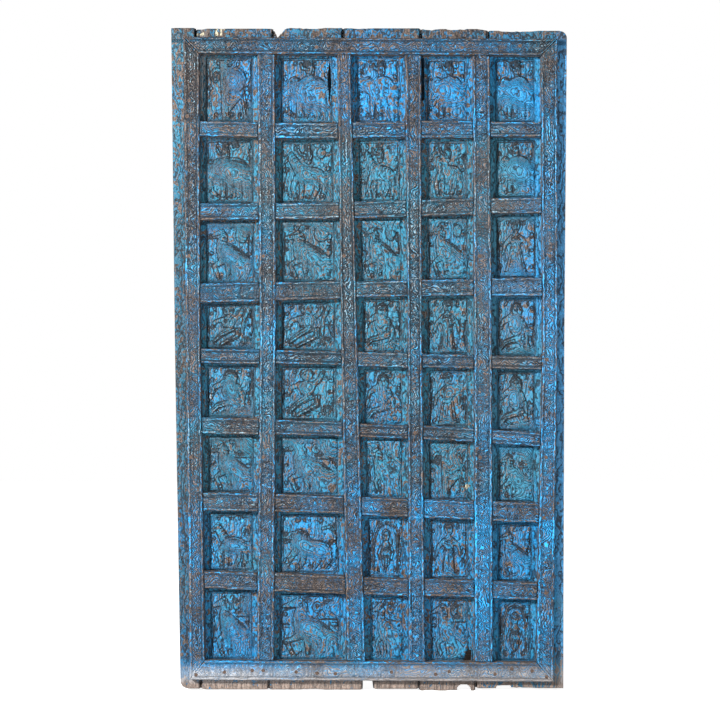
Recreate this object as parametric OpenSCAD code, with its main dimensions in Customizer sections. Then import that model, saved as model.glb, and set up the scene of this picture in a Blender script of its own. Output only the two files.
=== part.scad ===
// Carved temple door: one plank leaf with carved figure panels between applied battens.
// Millimetres. X runs to the right, Y to the back, Z up. The front faces -Y.
// The origin is under the middle of the leaf, at its lowest plank end.

/* [Leaf] */
// Height of the leaf, from the lowest plank end to the highest
leaf_h = 1900; // [1860:1:2000]
// Thickness of the vertical planks
plank_t = 32; // [24:1:50]
// Thickness of the battens and rails laid on the front
frame_t = 28; // [18:1:45]
// Thickness of the ledges across the back
ledge_t = 25; // [15:1:45]
// How far the short rails lie behind the front of the posts
rail_back = 1.5; // [0:0.5:4]
// Distance from the leaf's ends to the lines where its foot and head are measured
measure_in = 30; // [10:1:50]
// Height of the line where its middle is measured, and where the uprights bend
bend_z = 1013; // [900:1:1100]

/* [Stiles and posts] */
// Middle line of the left stile at its foot, middle and head
stile_left_x = [-490, -503, -508]; // [-530:1:-470]
// Width of the left stile at its foot, middle and head
stile_left_w = [45, 42, 46]; // [30:1:60]
// Middle line of the first post at its foot, middle and head
post_1_x = [-297, -289, -295]; // [-320:1:-270]
// Width of the first post
post_1_w = [49, 46, 51]; // [30:1:65]
// Middle line of the second post
post_2_x = [-36, -57, -73]; // [-100:1:-20]
// Width of the second post
post_2_w = [54, 46, 38]; // [30:1:65]
// Middle line of the third post
post_3_x = [137, 131, 125]; // [105:1:155]
// Width of the third post
post_3_w = [48, 40, 48]; // [30:1:65]
// Middle line of the fourth post
post_4_x = [328, 325, 320]; // [300:1:345]
// Width of the fourth post
post_4_w = [53, 51, 48]; // [30:1:65]
// Middle line of the right stile
stile_right_x = [501, 517, 514]; // [480:1:530]
// Width of the right stile
stile_right_w = [50, 42, 48]; // [30:1:60]

/* [Head and foot rails] */
// How far the top rail's middle line lies below the head of the leaf, at its left and right end
top_rail_drop = [53, 59]; // [40:1:80]
// Width of the top rail
top_rail_w = 48; // [30:1:60]
// How far the bottom rail's middle line lies above the foot of the leaf, at its left and right end
bottom_rail_rise = [63, 57]; // [50:1:90]
// Width of the bottom rail
bottom_rail_w = 56; // [30:1:70]

/* [Short rails] */
// How far the short rails of row 1 lie above an even spacing between the full rails, left to right
row_1_off = [2, -1, 3, 5, 6]; // [-50:1:50]
// Widths of the short rails of row 1
row_1_w = [44, 46, 46, 50, 43]; // [30:1:65]
// Offsets of row 2
row_2_off = [-17, -14, -8, -1, 5]; // [-50:1:50]
// Widths of row 2
row_2_w = [48, 47, 48, 48, 46]; // [30:1:65]
// Offsets of row 3
row_3_off = [-32, -25, -19, -14, -11]; // [-50:1:50]
// Widths of row 3
row_3_w = [56, 53, 46, 47, 53]; // [30:1:65]
// Offsets of row 4
row_4_off = [2, 0, -5, -8, -11]; // [-50:1:50]
// Widths of row 4
row_4_w = [43, 40, 44, 40, 38]; // [30:1:65]
// Offsets of row 5
row_5_off = [19, 15, 7, 1, -10]; // [-50:1:50]
// Widths of row 5
row_5_w = [47, 43, 38, 40, 40]; // [30:1:65]
// Offsets of row 6
row_6_off = [19, 15, 7, 1, -5]; // [-50:1:50]
// Widths of row 6
row_6_w = [53, 51, 53, 54, 57]; // [30:1:65]
// Offsets of row 7
row_7_off = [11, 4, -4, -7, -13]; // [-50:1:50]
// Widths of row 7
row_7_w = [50, 54, 50, 50, 50]; // [30:1:65]

/* [Planks] */
// Left edge of the leaf at its foot, middle and head
leaf_left_x = [-541, -557, -567]; // [-580:1:-530]
// Right edge of the leaf at its foot, middle and head
leaf_right_x = [557, 560, 567]; // [545:1:580]
// First plank joint, under the left stile, at foot, middle and head
joint_1_x = [-483, -491, -497]; // [-510:1:-470]
// Second plank joint, under the first post
joint_2_x = [-288, -283, -275]; // [-310:1:-260]
// Third plank joint, under the second post
joint_3_x = [-18, -50, -74]; // [-90:1:-10]
// Fourth plank joint, under the right edge of the third post
joint_4_x = [143, 145, 148]; // [120:1:160]
// Fifth plank joint, under the fourth post
joint_5_x = [306, 335, 341]; // [300:1:350]
// Open joint between two planks
plank_gap = 1; // [0.5:0.5:5]
// How far the plank ends at the head lie below the top, left to right
head_drop = [0, 2, 0, 1, 3, 8]; // [0:1:15]
// How far the plank ends at the foot lie above the lowest end
foot_rise = [6, 4, 3, 5, 0, 7]; // [0:1:12]
// Wear radius of the leaf's rounded outer corners
corner_r = 22; // [5:1:30]

/* [Carving] */
// Depth of the ground round the figures of a panel
ground_depth = 5; // [3:0.5:9]
// Depth of the sunk strips round a panel
strip_depth = 8; // [4:0.5:12]
// Depth of the lines cut into the figures
line_depth = 2.5; // [1:0.5:4]
// Sunk strip at the left and right of a panel
panel_side = 18; // [8:1:30]
// Sunk strip above a panel
panel_top = 8; // [4:1:20]
// Sunk strip below a panel
panel_foot = 4; // [2:1:20]
// How far the carving runs on under the battens
carve_lap = 2; // [1:0.5:4]

/* [Beads on the battens] */
// Distance of the bead's groove from the batten's edge
bead_in = 7; // [4:1:10]
// Width of the groove
bead_w = 3; // [2:0.5:5]
// Depth of the groove
bead_depth = 2; // [1:0.5:4]
// Where the groove stops before the batten's end
bead_stop = 4; // [2:1:20]

/* [Breaks and splits] */
// Notch at the head of the third plank: how far its left end, its tip and its right end lie
// from the second plank joint
head_notch_x = [-1, 12, 36]; // [-5:1:45]
// Depth of that notch
head_notch_h = 27; // [10:1:40]
// Notch at the foot of the fourth plank: its width
foot_notch_w = 30; // [10:1:50]
// Height of that notch
foot_notch_h = 33; // [10:1:45]
// Bite out of the foot of the fifth plank: its radius
bite_r = 20; // [10:1:30]
// Distance of its middle from the fifth plank joint
bite_in = 33; // [32:1:50]
// Shallow bite out of the foot of the sixth plank: its distance from the joint
shallow_in = 54; // [20:1:80]
// Width of the shallow bite
shallow_w = 52; // [20:1:90]
// Height of the shallow bite
shallow_h = 13; // [8:1:18]
// Sliver lost beside the third post in the first row: its width
sliver_w = 10; // [4:1:16]
// Height of that sliver
sliver_h = 122; // [60:1:140]
// Distance of that sliver above the short rail below it
sliver_up = 62; // [30:1:80]
// Wood left behind the sliver and behind the split below
split_left = 8; // [4:1:16]
// Split in the third plank in the first row: its width
split_w = 10; // [4:1:16]
// Height of that split
split_h = 110; // [40:1:140]
// Distance of that split below the top rail
split_down = 22; // [5:1:80]
// Distance of that split from the second post
split_in = 22; // [12:1:60]
// Hole at the foot of the fifth plank: its width
hole_w = 20; // [8:1:30]
// Height of that hole
hole_h = 32; // [10:1:40]
// Distance of that hole from the fourth post
hole_in = 9; // [5:1:30]

/* [Ledges] */
// Distance of the lowest ledge's middle line above the foot of the leaf
ledge_rise = 95; // [70:1:140]
// Distance of the highest ledge's middle line below the head of the leaf
ledge_drop = 80; // [60:1:140]
// Width of a ledge
ledge_w = 90; // [50:1:120]
// Distance of the ledge ends from the edges of the leaf
ledge_in = 20; // [5:1:60]
// Chamfer round a ledge's back
ledge_chamfer = 8; // [2:1:12]

/* [Nails] */
// Side of a forged nail's square shank
nail_side = 5; // [3:0.5:7]
// Width of a nail's head
nail_head_w = 11; // [8:0.5:14]
// Thickness of a nail's head
nail_head_t = 2; // [1:0.5:4]
// How far a ledge's nails lie above or below its middle, turn about
ledge_nail_step = 24; // [5:1:28]
// How far a nail's tip stops inside the last board
nail_short = 6; // [3:1:12]

/* [Fits] */
// Gap at the ends of a butted rail
butt_gap = 0.3; // [0.1:0.1:0.9]
// Gap round a nail in its hole
nail_gap = 0.2; // [0.1:0.1:0.5]

/* [Hidden] */
foot_z = measure_in;
head_z = leaf_h - measure_in;
depth = frame_t + plank_t + ledge_t;
front_y = -depth / 2;
face_y = front_y + frame_t;
back_y = face_y + plank_t;
post_x = [stile_left_x, post_1_x, post_2_x, post_3_x, post_4_x, stile_right_x];
post_w = [stile_left_w, post_1_w, post_2_w, post_3_w, post_4_w, stile_right_w];
seam_x = [leaf_left_x, joint_1_x, joint_2_x, joint_3_x, joint_4_x, joint_5_x, leaf_right_x];
row_off = [row_1_off, row_2_off, row_3_off, row_4_off, row_5_off, row_6_off, row_7_off];
row_w = [row_1_w, row_2_w, row_3_w, row_4_w, row_5_w, row_6_w, row_7_w];
top_rail_z = [for (drop = top_rail_drop) leaf_h - drop];
bottom_rail_z = bottom_rail_rise;
bays = 5;
rows = 8;
planks = 6;
ledges = 4;
sliver = 0.7;
wood_blue = [0.25, 0.5, 0.66];
wood_teal = [0.3, 0.46, 0.55];
wood_grey = [0.44, 0.4, 0.39];
iron = [0.16, 0.14, 0.13];

// Nails in the uprights at the crossings with the short rails: the upright, counted from the left
// stile, the row, and how far the nail lies above the row's line and beside the upright's
crossing_nails = [
    [0, 0, 79, -7], [0, 0, 34, -13], [3, 4, -1, -2], [3, 5, -2, 0], [4, 3, 0, -6], [4, 4, -37, -17],
    [5, 3, 11, -8], [5, 5, -13, -9], [5, 6, -3, 0]
];
// Nails in the uprights over the two middle ledges: how far they lie beside the upright's line,
// from the left stile on
ledge_nail_side = [[-12, -10, -8, -4, -9, -6], [-10, -11, -10, -4, -8, 0]];
// Nails in the full rails: how many bays they lie from the left stile, and how far above the rail's
// middle line, as a share of half its width
bottom_nail_shares = [
    [-0.02, -0.5], [0.4, -0.2], [0.81, 0], [0.97, 0], [1.34, -0.15], [1.57, -0.25], [1.77, -0.3],
    [2.58, -0.1], [3.28, -0.3], [3.48, 0], [4.18, -0.25], [4.46, 0.3], [4.79, 0.1], [5.03, -0.5]
];
top_nail_shares = [[0.5, 0.1], [1.65, -0.15], [2.57, 0.1], [3.72, -0.1], [4.57, 0.15]];

// A value that is given at the foot, middle and head, at the height z
function at(v, z) = z < bend_z
    ? v[0] + (v[1] - v[0]) * (z - foot_z) / (bend_z - foot_z)
    : v[1] + (v[2] - v[1]) * (z - bend_z) / (head_z - bend_z);
// Left and right edge of the post i, counted from the left stile, at the height z
function post_left(i, z) = at(post_x[i], z) - at(post_w[i], z) / 2;
function post_right(i, z) = at(post_x[i], z) + at(post_w[i], z) / 2;
// Middle of the bay c at the height z
function bay_x(c, z) = (post_right(c, z) + post_left(c + 1, z)) / 2;

// Height of a full rail's middle line at x
function full_rail_z(v, x) = v[0]
    + (v[1] - v[0]) * (x - stile_left_x[2]) / (stile_right_x[2] - stile_left_x[2]);
// Middle height of the short rail r, c: near an even spacing between the full rails
function row_z(r, c) = let (
    x = bay_x(c, bend_z),
    foot = full_rail_z(bottom_rail_z, x) + bottom_rail_w / 2,
    head = full_rail_z(top_rail_z, x) - top_rail_w / 2
) foot + (head - foot) * (rows - 1 - r) / rows + row_off[r][c];
// A short rail lies a little aslant, as its row runs
function rail_slope(r, c) = let (a = max(c - 1, 0), b = min(c + 1, bays - 1), z = row_z(r, c))
    (row_z(r, b) - row_z(r, a)) / (bay_x(b, z) - bay_x(a, z));
function rail_z(r, c, x) = row_z(r, c) + rail_slope(r, c) * (x - bay_x(c, row_z(r, c)));
// Lower edge of what closes the opening r, c above, and upper edge of what closes it below
function opening_top(r, c, x) = r == 0
    ? full_rail_z(top_rail_z, x) - top_rail_w / 2
    : rail_z(r - 1, c, x) - row_w[r - 1][c] / 2;
function opening_foot(r, c, x) = r == rows - 1
    ? full_rail_z(bottom_rail_z, x) + bottom_rail_w / 2
    : rail_z(r, c, x) + row_w[r][c] / 2;

// Slab of a flat outline, drawn as seen from the front: its front face lies at y
module slab(y, t) {
    translate([0, y + t, 0]) rotate([90, 0, 0]) linear_extrude(t) children();
}

// Direction of a row of points at its point i
function along(points, i) = let (
    step = points[min(i + 1, len(points) - 1)] - points[max(i - 1, 0)]
) step / norm(step);
// From the middle of a limb to its left side, at the point i
function limb_side(points, i, ra, rb) = let (a = along(points, i))
    [-a.y, a.x] * (ra + (rb - ra) * i / (len(points) - 1));
// Limb through a row of points, thinning out from the half width ra to rb, with a blunt tip
module limb(points, ra, rb) {
    last = len(points) - 1;
    polygon(concat(
        [for (i = [0:last]) points[i] + limb_side(points, i, ra, rb)],
        [points[last] + along(points, last) * rb],
        [for (i = [last:-1:0]) points[i] - limb_side(points, i, ra, rb)]
    ));
}
module oval(p, rx, ry, turn = 0) {
    translate(p) rotate(turn) scale([rx, ry]) circle(1, $fn = 8);
}
// Points along a scroll about p, from the angle a to b, its radius going from ra to rb
function scroll(p, ra, rb, a, b, steps = 4) = [for (i = [0:steps])
    p + (ra + (rb - ra) * i / steps) * [cos(a + (b - a) * i / steps), sin(a + (b - a) * i / steps)]];
// Parallel lines across an oval, for plumage and pleats
module hatch(p, rx, ry, turn, count, w = 2) {
    for (i = [1:count]) {
        h = rx * (2 * i / (count + 1) - 1);
        half = 0.8 * ry * sqrt(1 - pow(h / rx, 2));
        translate(p) rotate(turn) translate([h - w / 2, -half]) square([w, 2 * half]);
    }
}
module flower(p, r, count) {
    translate(p) circle(r, $fn = count);
    translate(p) rotate(180 / count) circle(r, $fn = count);
}
// Scalloped border hanging from the top of a panel
module scallops(count) {
    w = 100 / count;
    polygon(concat([[50, 52], [-50, 52]], [for (i = [0:count - 1]) each [
        [-50 + w * i, 48], [-50 + w * (i + 0.25), 43], [-50 + w * (i + 0.75), 43]]], [[50, 48]]));
}
// Raised strip down one side of a panel
module strip(x, w) { translate([x, -50]) square([w, 100]); }

// The figures stand in a square of 100 by 100 about their panel's middle.

// Elephant facing left. trunk: where its trunk goes, hump: height of its back
module elephant(trunk = "down", hump = 20) {
    oval([10, -2], 33, hump, 10);
    oval([-24, 8], 15, 14);
    for (x = [-14, 2, 22, 36]) polygon([[x - 6, -8], [x + 6, -8], [x + 5, -47], [x - 5, -47]]);
    limb([[40, 6], [47, -12], [45, -28]], 3, 2.5);
    if (trunk == "down") limb([[-32, 4], [-43, -16], [-38, -34], [-28, -38]], 8, 3);
    if (trunk == "up") limb([[-32, 6], [-46, 16], [-44, 34], [-34, 40]], 8, 3);
    if (trunk == "curl") limb(scroll([-34, -16], 14, 6, 100, 350, 4), 6, 3);
}
// Horse or bull facing left. tail: "hang" or "curl"
module horse(tail = "hang") {
    oval([6, -4], 30, 13);
    limb([[-46, 16], [-34, 28], [-14, 2]], 5, 11);
    limb([[-20, -8], [-28, -26], [-22, -46]], 6, 4);
    limb([[-12, -8], [-10, -28], [-12, -46]], 5, 4);
    limb([[18, -8], [20, -28], [10, -46]], 6, 4);
    limb([[30, -6], [36, -24], [30, -46]], 7, 4);
    if (tail == "hang") limb([[36, 2], [45, -8], [46, -28]], 3, 2.5);
    if (tail == "curl") limb(scroll([34, 16], 16, 5, -60, 230, 5), 3.5, 2.5);
}
// Lion facing left, with its mane and its tail thrown up behind it
module lion() {
    oval([8, -8], 30, 14);
    oval([-18, 8], 19, 17);
    limb([[-30, 14], [-44, 8]], 8, 4);
    limb([[-22, -10], [-34, -26], [-44, -46]], 6, 4);
    limb([[-10, -14], [-12, -32], [-22, -46]], 6, 4);
    limb([[18, -14], [14, -32], [4, -46]], 6, 4);
    limb([[30, -10], [34, -28], [22, -46]], 7, 4);
    limb([[34, 0], [46, 10], [38, 30], [22, 26]], 3.5, 2.5);
}
// Rider in a saddle at p
module rider(p) {
    oval(p, 9, 14);
    oval(p + [-1, 15], 7, 7);
    limb([p + [-4, 2], p + [-16, 4], p + [-20, 12]], 3.5, 2.5);
}
// Large bird facing left, with a long neck and a pear-shaped tail. beak: height of its beak,
// step: how far its foot is set forward
module bird(beak = 32, step = 34) {
    limb([[-47, beak - 3], [-16, beak + 5]], 2, 8);
    limb([[-12, beak + 4], [-18, 14], [-12, -6]], 8, 15);
    polygon([[-10, 14], [16, 6], [44, -12], [48, -32], [38, -48], [14, -49], [2, -36], [4, -16], [-16, -14]]);
    limb([[-14, -14], [-step, -24], [-step + 12, -47]], 6, 4);
    limb([[-6, -16], [-3, -48]], 5, 3);
}
// Rider and scrolls above a bird's back
module bird_rider() {
    oval([33, 30], 14, 13);
    oval([12, 30], 8, 9);
    translate([12, 11]) square([36, 7]);
}
// Dancer running left with crossed legs. snake: a snake rises at the right
module dancer(snake = false) {
    oval([-4, 36], 12, 12);
    oval([-4, 10], 16, 15);
    limb([[-14, 18], [-34, 10], [-38, -4]], 5, 3.5);
    limb([[8, 16], [20, 26], [26, 40]], 5, 4);
    limb([[6, -4], [-20, -20], [-36, -36]], 7, 4);
    limb([[14, -4], [16, -22], [-22, -44]], 7, 4);
    if (snake) limb([[40, 44], [28, 14], [26, -20]], 4, 3);
    oval([34, -34], 12, 11);
}
// Seated figure with a halo and arched arms
module seated() {
    oval([0, 28], 16, 16);
    oval([-2, 2], 18, 18);
    limb([[-12, 20], [-36, 8], [-45, -14]], 6, 4);
    limb([[12, 14], [28, -10], [26, -28]], 6, 5);
    limb([[20, -18], [-28, -28], [-42, -40]], 7, 4);
    polygon([[34, -30], [38, -46], [-22, -47], [-20, -40]]);
}
// Standing figure in a flared skirt. disc: it holds a round disc before it
module standing(disc = false, flare = 22) {
    oval([0, 36], 11, 12);
    oval([0, 10], disc ? 18 : 14, 16);
    polygon([[-12, 0], [12, 0], [flare, -49], [-flare, -49]]);
    limb([[-10, 16], [-28, 4], [-34, -12]], 5, 3.5);
    limb([[10, 16], [26, 6], [30, -10]], 5, 3.5);
}
// Long feathers fanned out to the upper right
module feathers() {
    for (a = [26, 46, 66]) limb([[14, 4], [14, 4] + 42 * [cos(a), sin(a)]], 3, 5);
}
// Figure under an arch
module arched() {
    oval([2, 20], 11, 12);
    oval([2, -12], 15, 26);
    limb([[-38, -48], [-38, 8], [-20, 38], [4, 46], [28, 38], [40, 8], [40, -48]], 5, 5);
}
// A panel rubbed almost smooth: a stem, a raised limb and a low mound
module worn_panel() {
    limb([[-10, 46], [-8, 4], [-6, -46]], 10, 9);
    limb([[-4, -30], [30, -6], [40, -46]], 8, 7);
    oval([16, 16], 22, 20);
    limb(scroll([-28, 20], 12, 12, 200, 60, 3), 3, 3);
}

// What is carved in the panel r, c, counted from the top left
module motif(r, c) {
    if (r == 0) {
        if (c == 0) worn_panel();
        if (c == 1) elephant("down", 22);
        if (c == 2) elephant("up", 24);
        if (c == 3) elephant("curl", 24);
        if (c == 4) elephant("down", 26);
        if (c > 0) rider([8, 30]);
    }
    if (r == 1) {
        if (c == 0) elephant("down", 20);
        if (c == 1 || c == 2) horse("hang");
        if (c == 3) horse("curl");
        if (c == 4) elephant("curl", 26);
        rider([c == 0 ? -8 : 2, 26]);
        if (c == 1) flower([28, 32], 10, 5);
    }
    if (r == 2) {
        if (c < 4) bird(c == 1 ? 24 : 28, c == 2 ? 40 : 34);
        if (c < 4) flower([26, 30], c == 3 ? 12 : 15, 5);
        if (c == 4) standing(false, 30);
        scallops(5);
    }
    if (r == 3) {
        if (c < 2) dancer(true);
        if (c == 2 || c == 4) seated();
        if (c == 3) standing(true, 20);
    }
    if (r == 4) {
        if (c == 0 || c == 2 || c == 4) seated();
        if (c == 1) dancer(false);
        if (c == 3) standing(true, 24);
        if (c == 3) feathers();
        if (c == 0) strip(46, 4);
    }
    if (r == 5) {
        if (c == 3) worn_panel();
        if (c != 3) bird(c == 1 ? 30 : 26, c == 2 ? 26 : 34);
        if (c != 3) bird_rider();
        scallops(6);
    }
    if (r == 6) {
        if (c == 0) horse("curl");
        if (c == 1) lion();
        if (c == 2) arched();
        if (c == 3) standing(false, 18);
        if (c == 4) bird(26, 30);
        if (c == 0) scallops(3);
    }
    if (r == 7) {
        if (c < 4) bird(c == 1 ? 34 : 30, c == 1 ? 40 : 32);
        if (c < 4) bird_rider();
        if (c == 4) arched();
    }
}
// Lines cut into the figures: the plumage of the birds and the pleats of the skirts
function has_bird(r, c) = (r == 2 && c < 4) || (r == 5 && c != 3) || (r == 6 && c == 4) || (r == 7 && c < 4);
function has_skirt(r, c) = ((r == 3 || r == 4) && c == 3) || (r == 2 && c == 4);
module motif_lines(r, c) {
    if (has_bird(r, c)) hatch([24, -27], 19, 20, 40, 3);
    if (has_skirt(r, c)) hatch([0, -26], 12, 18, 0, 3);
}

// Outline of the opening r, c between the battens, grown by g
module opening(r, c, g = 0) {
    zt = opening_top(r, c, bay_x(c, bend_z));
    zf = opening_foot(r, c, bay_x(c, bend_z));
    top_l = post_right(c, zt) - g;
    top_r = post_left(c + 1, zt) + g;
    foot_l = post_right(c, zf) - g;
    foot_r = post_left(c + 1, zf) + g;
    polygon([
        [top_l, opening_top(r, c, top_l) + g], [top_r, opening_top(r, c, top_r) + g],
        [foot_r, opening_foot(r, c, foot_r) - g], [foot_l, opening_foot(r, c, foot_l) - g]
    ]);
}
// Middle, width and height of the carved field in the opening r, c
function field_foot(r, c) = opening_foot(r, c, bay_x(c, bend_z)) + panel_foot;
function field_top(r, c) = opening_top(r, c, bay_x(c, bend_z)) - panel_top;
function field_z(r, c) = (field_foot(r, c) + field_top(r, c)) / 2;
function field_h(r, c) = field_top(r, c) - field_foot(r, c);
function field_w(r, c) = post_left(c + 1, field_z(r, c)) - post_right(c, field_z(r, c)) - 2 * panel_side;
// Puts a figure from its square of 100 by 100 into its panel
module placed(r, c) {
    translate([bay_x(c, field_z(r, c)), field_z(r, c)])
        scale([field_w(r, c) / 100, field_h(r, c) / 100]) children();
}
// What the carver takes away in the opening r, c: the strips round the panel, the ground round its
// figures, and the lines in them
module carving(r, c) {
    slab(face_y - 1, strip_depth + 1) difference() {
        opening(r, c, carve_lap);
        placed(r, c) square(100, center = true);
    }
    slab(face_y - 1, ground_depth + 1) cleaned() difference() {
        placed(r, c) square(100, center = true);
        placed(r, c) motif(r, c);
    }
    if (has_bird(r, c) || has_skirt(r, c))
        slab(face_y - 1, line_depth + 1) offset(delta = 0.01) placed(r, c) motif_lines(r, c);
}
// Drops slivers that are too thin for a chisel from a flat outline
module cleaned() {
    offset(delta = sliver) offset(delta = -2 * sliver) offset(delta = sliver) children();
}

// Outline of the plank i, counted from the left
module plank_outline(i) {
    low = foot_rise[i];
    high = leaf_h - head_drop[i];
    left_gap = i == 0 ? 0 : plank_gap / 2;
    right_gap = i == planks - 1 ? 0 : plank_gap / 2;
    difference() {
        polygon(concat(
            [for (z = [low, bend_z, high]) [at(seam_x[i], z) + left_gap, z]],
            [for (z = [high, bend_z, low]) [at(seam_x[i + 1], z) - right_gap, z]]
        ));
        if (i == 0) worn_corner([at(leaf_left_x, low), low], 1, 1);
        if (i == planks - 1) worn_corner([at(leaf_right_x, high), high], -1, -1);
        breaks();
    }
}
// Rounds a corner at p off, the leaf lying at its side sx, sz
module worn_corner(p, sx, sz) {
    translate(p) scale([sx, sz]) difference() {
        translate([-corner_r, -corner_r]) square(2 * corner_r);
        translate([corner_r, corner_r]) circle(corner_r, $fn = 32);
    }
}
// Sliver lost from the fifth plank beside the third post, in the first row
module sliver_outline() {
    foot = opening_foot(0, 3, at(joint_4_x, head_z)) + sliver_up;
    translate([at(joint_4_x, foot), foot]) square([sliver_w, sliver_h]);
}
// Split in the third plank, in the first row
module split_outline() {
    head = opening_top(0, 1, post_left(2, head_z)) - split_down;
    translate([post_left(2, head) - split_in, head]) polygon([
        [0, 0], [split_w / 2, -split_h / 2], [0, -split_h], [-split_w / 2, -split_h / 2]]);
}
// Where the planks are broken right through
module breaks() {
    joint_2_head = at(joint_2_x, leaf_h);
    joint_3_foot = at(joint_3_x, 0);
    joint_5_foot = at(joint_5_x, 0);
    // Notch at the head of the third plank
    polygon([
        [joint_2_head + head_notch_x[0], leaf_h + 1], [joint_2_head + head_notch_x[2], leaf_h + 1],
        [joint_2_head + head_notch_x[1], leaf_h - head_notch_h]
    ]);
    // Notch at the foot of the fourth plank
    translate([joint_3_foot, -1]) polygon([
        [-2, 0], [foot_notch_w, 0], [foot_notch_w - 4, foot_notch_h + 1], [0, foot_notch_h + 1]]);
    // Bite out of the foot of the fifth plank
    translate([joint_5_foot - bite_in, 0]) scale([1, 0.9]) circle(bite_r, $fn = 20);
    // Shallow bite out of the foot of the sixth plank
    translate([joint_5_foot + shallow_in, -1]) polygon([
        [0, 0], [shallow_w, 0], [shallow_w - 8, shallow_h + 1], [8, shallow_h + 1]]);
    // Hole at the foot of the fifth plank
    hole_foot = opening_foot(rows - 1, 3, post_left(4, foot_z));
    translate([post_left(4, foot_z) - hole_in, hole_foot - 1]) polygon([
        [0, 0], [0, hole_h], [-hole_w * 0.7, hole_h - 6], [-hole_w, 0]]);
}
module plank(i) {
    color(wood_blue) difference() {
        slab(face_y, plank_t) offset(delta = 0.01) plank_outline(i);
        if (i > 0) for (r = [0:rows - 1]) carving(r, i - 1);
        if (i == 2) slab(face_y - 1, plank_t - split_left + 1) split_outline();
        if (i == 4) slab(face_y - 1, plank_t - split_left + 1) sliver_outline();
        nail_holes(i);
    }
}

// Corner of the upright i on a full rail: v and w are the rail's height and width, side_x is -1 for
// the upright's left edge, side_z is -1 for the rail's lower edge
function corner(v, w, i, side_x, side_z) = let (
    z0 = full_rail_z(v, at(post_x[i], head_z)) + side_z * w / 2,
    x = side_x < 0 ? post_left(i, z0) : post_right(i, z0)
) [x, full_rail_z(v, x) + side_z * w / 2];
// The stiles are mitred into the full rails: their outer corners reach the rails' outer edges
function outer(i, side_x) = (i == 0 && side_x < 0) || (i == bays && side_x > 0);
function head_corner(i, side_x) =
    corner(top_rail_z, top_rail_w, i, side_x, outer(i, side_x) ? 1 : -1);
function foot_corner(i, side_x) =
    corner(bottom_rail_z, bottom_rail_w, i, side_x, outer(i, side_x) ? -1 : 1);

// Flat outline of the upright i, counted from the left stile
module upright_outline(i) {
    polygon([
        foot_corner(i, -1) + [0, butt_gap], [post_left(i, bend_z), bend_z],
        head_corner(i, -1) - [0, butt_gap], head_corner(i, 1) - [0, butt_gap],
        [post_right(i, bend_z), bend_z], foot_corner(i, 1) + [0, butt_gap]
    ]);
}
// Line of a bead's groove on the upright i
function bead_x(i, side, z) = at(post_x[i], z) + side * (at(post_w[i], z) / 2 - bead_in);
module upright_beads(i) {
    for (side = [-1, 1]) polygon(concat(
        [for (z = [0, bend_z, leaf_h]) [bead_x(i, side, z) - bead_w / 2, z]],
        [for (z = [leaf_h, bend_z, 0]) [bead_x(i, side, z) + bead_w / 2, z]]
    ));
}
module upright(i) {
    color(wood_teal) difference() {
        slab(front_y, frame_t) upright_outline(i);
        slab(front_y - 1, bead_depth + 1) intersection() {
            upright_beads(i);
            offset(delta = -bead_stop) upright_outline(i);
        }
        for (p = upright_nails(i)) frame_nail_hole(p);
    }
}

// Flat outline of a full rail, mitred at both ends
module full_rail_outline(v, w, inner) {
    polygon([
        corner(v, w, 0, -1, -inner), corner(v, w, bays, 1, -inner),
        corner(v, w, bays, -1, inner), corner(v, w, 0, 1, inner)
    ]);
}
module full_rail(v, w, inner, nails) {
    color(wood_grey) difference() {
        slab(front_y, frame_t) full_rail_outline(v, w, inner);
        slab(front_y - 1, bead_depth + 1) intersection() {
            for (side = [-1, 1]) rail_groove(
                [stile_left_x[2], v[0] + side * (w / 2 - bead_in)],
                [stile_right_x[2], v[1] + side * (w / 2 - bead_in)]);
            offset(delta = -bead_stop) full_rail_outline(v, w, inner);
        }
        for (p = rail_nails(v, w, nails)) frame_nail_hole(p);
    }
}
// Groove from a to b, running on past both
module rail_groove(a, b) {
    past = (b - a) * 0.1;
    up = [0, bead_w / 2];
    polygon([a - past - up, b + past - up, b + past + up, a - past + up]);
}

// Flat outline of the short rail r, c, butted between two uprights
module short_rail_outline(r, c) {
    half = row_w[r][c] / 2;
    polygon([for (s = [[-1, -1], [1, -1], [1, 1], [-1, 1]])
        let (z = row_z(r, c) + s.y * half,
            x = s.x < 0 ? post_right(c, z) + butt_gap : post_left(c + 1, z) - butt_gap)
        [x, rail_z(r, c, x) + s.y * half]
    ]);
}
module short_rail(r, c) {
    half = row_w[r][c] / 2;
    left = post_right(c, row_z(r, c));
    right = post_left(c + 1, row_z(r, c));
    color(r < 3 ? wood_teal : wood_grey) difference() {
        slab(front_y + rail_back, frame_t - rail_back) short_rail_outline(r, c);
        slab(front_y + rail_back - 1, bead_depth + 1) intersection() {
            for (side = [-1, 1]) rail_groove(
                [left, rail_z(r, c, left) + side * (half - bead_in)],
                [right, rail_z(r, c, right) + side * (half - bead_in)]);
            offset(delta = -bead_stop) short_rail_outline(r, c);
        }
    }
}

// Ledge k across the back, counted from below
function ledge_z(k) = ledge_rise + (leaf_h - ledge_rise - ledge_drop) * k / (ledges - 1);
module ledge(k) {
    z = ledge_z(k);
    left = at(leaf_left_x, z) + ledge_in;
    right = at(leaf_right_x, z) - ledge_in;
    half = ledge_w / 2;
    far = back_y + ledge_t;
    color(wood_grey) difference() {
        translate([left, 0, 0]) rotate([90, 0, 90]) linear_extrude(right - left) polygon([
            [back_y, z - half], [far - ledge_chamfer, z - half], [far, z - half + ledge_chamfer],
            [far, z + half - ledge_chamfer], [far - ledge_chamfer, z + half], [back_y, z + half]
        ]);
        for (i = [0:planks - 1]) ledge_nail_hole(ledge_nail(k, i));
    }
}

// Height at which the line of row r crosses the upright i
function crossing_z(i, r) = let (x = at(post_x[i], row_z(r, min(i, bays - 1))))
    (rail_z(r, max(i - 1, 0), x) + rail_z(r, min(i, bays - 1), x)) / 2;
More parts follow.
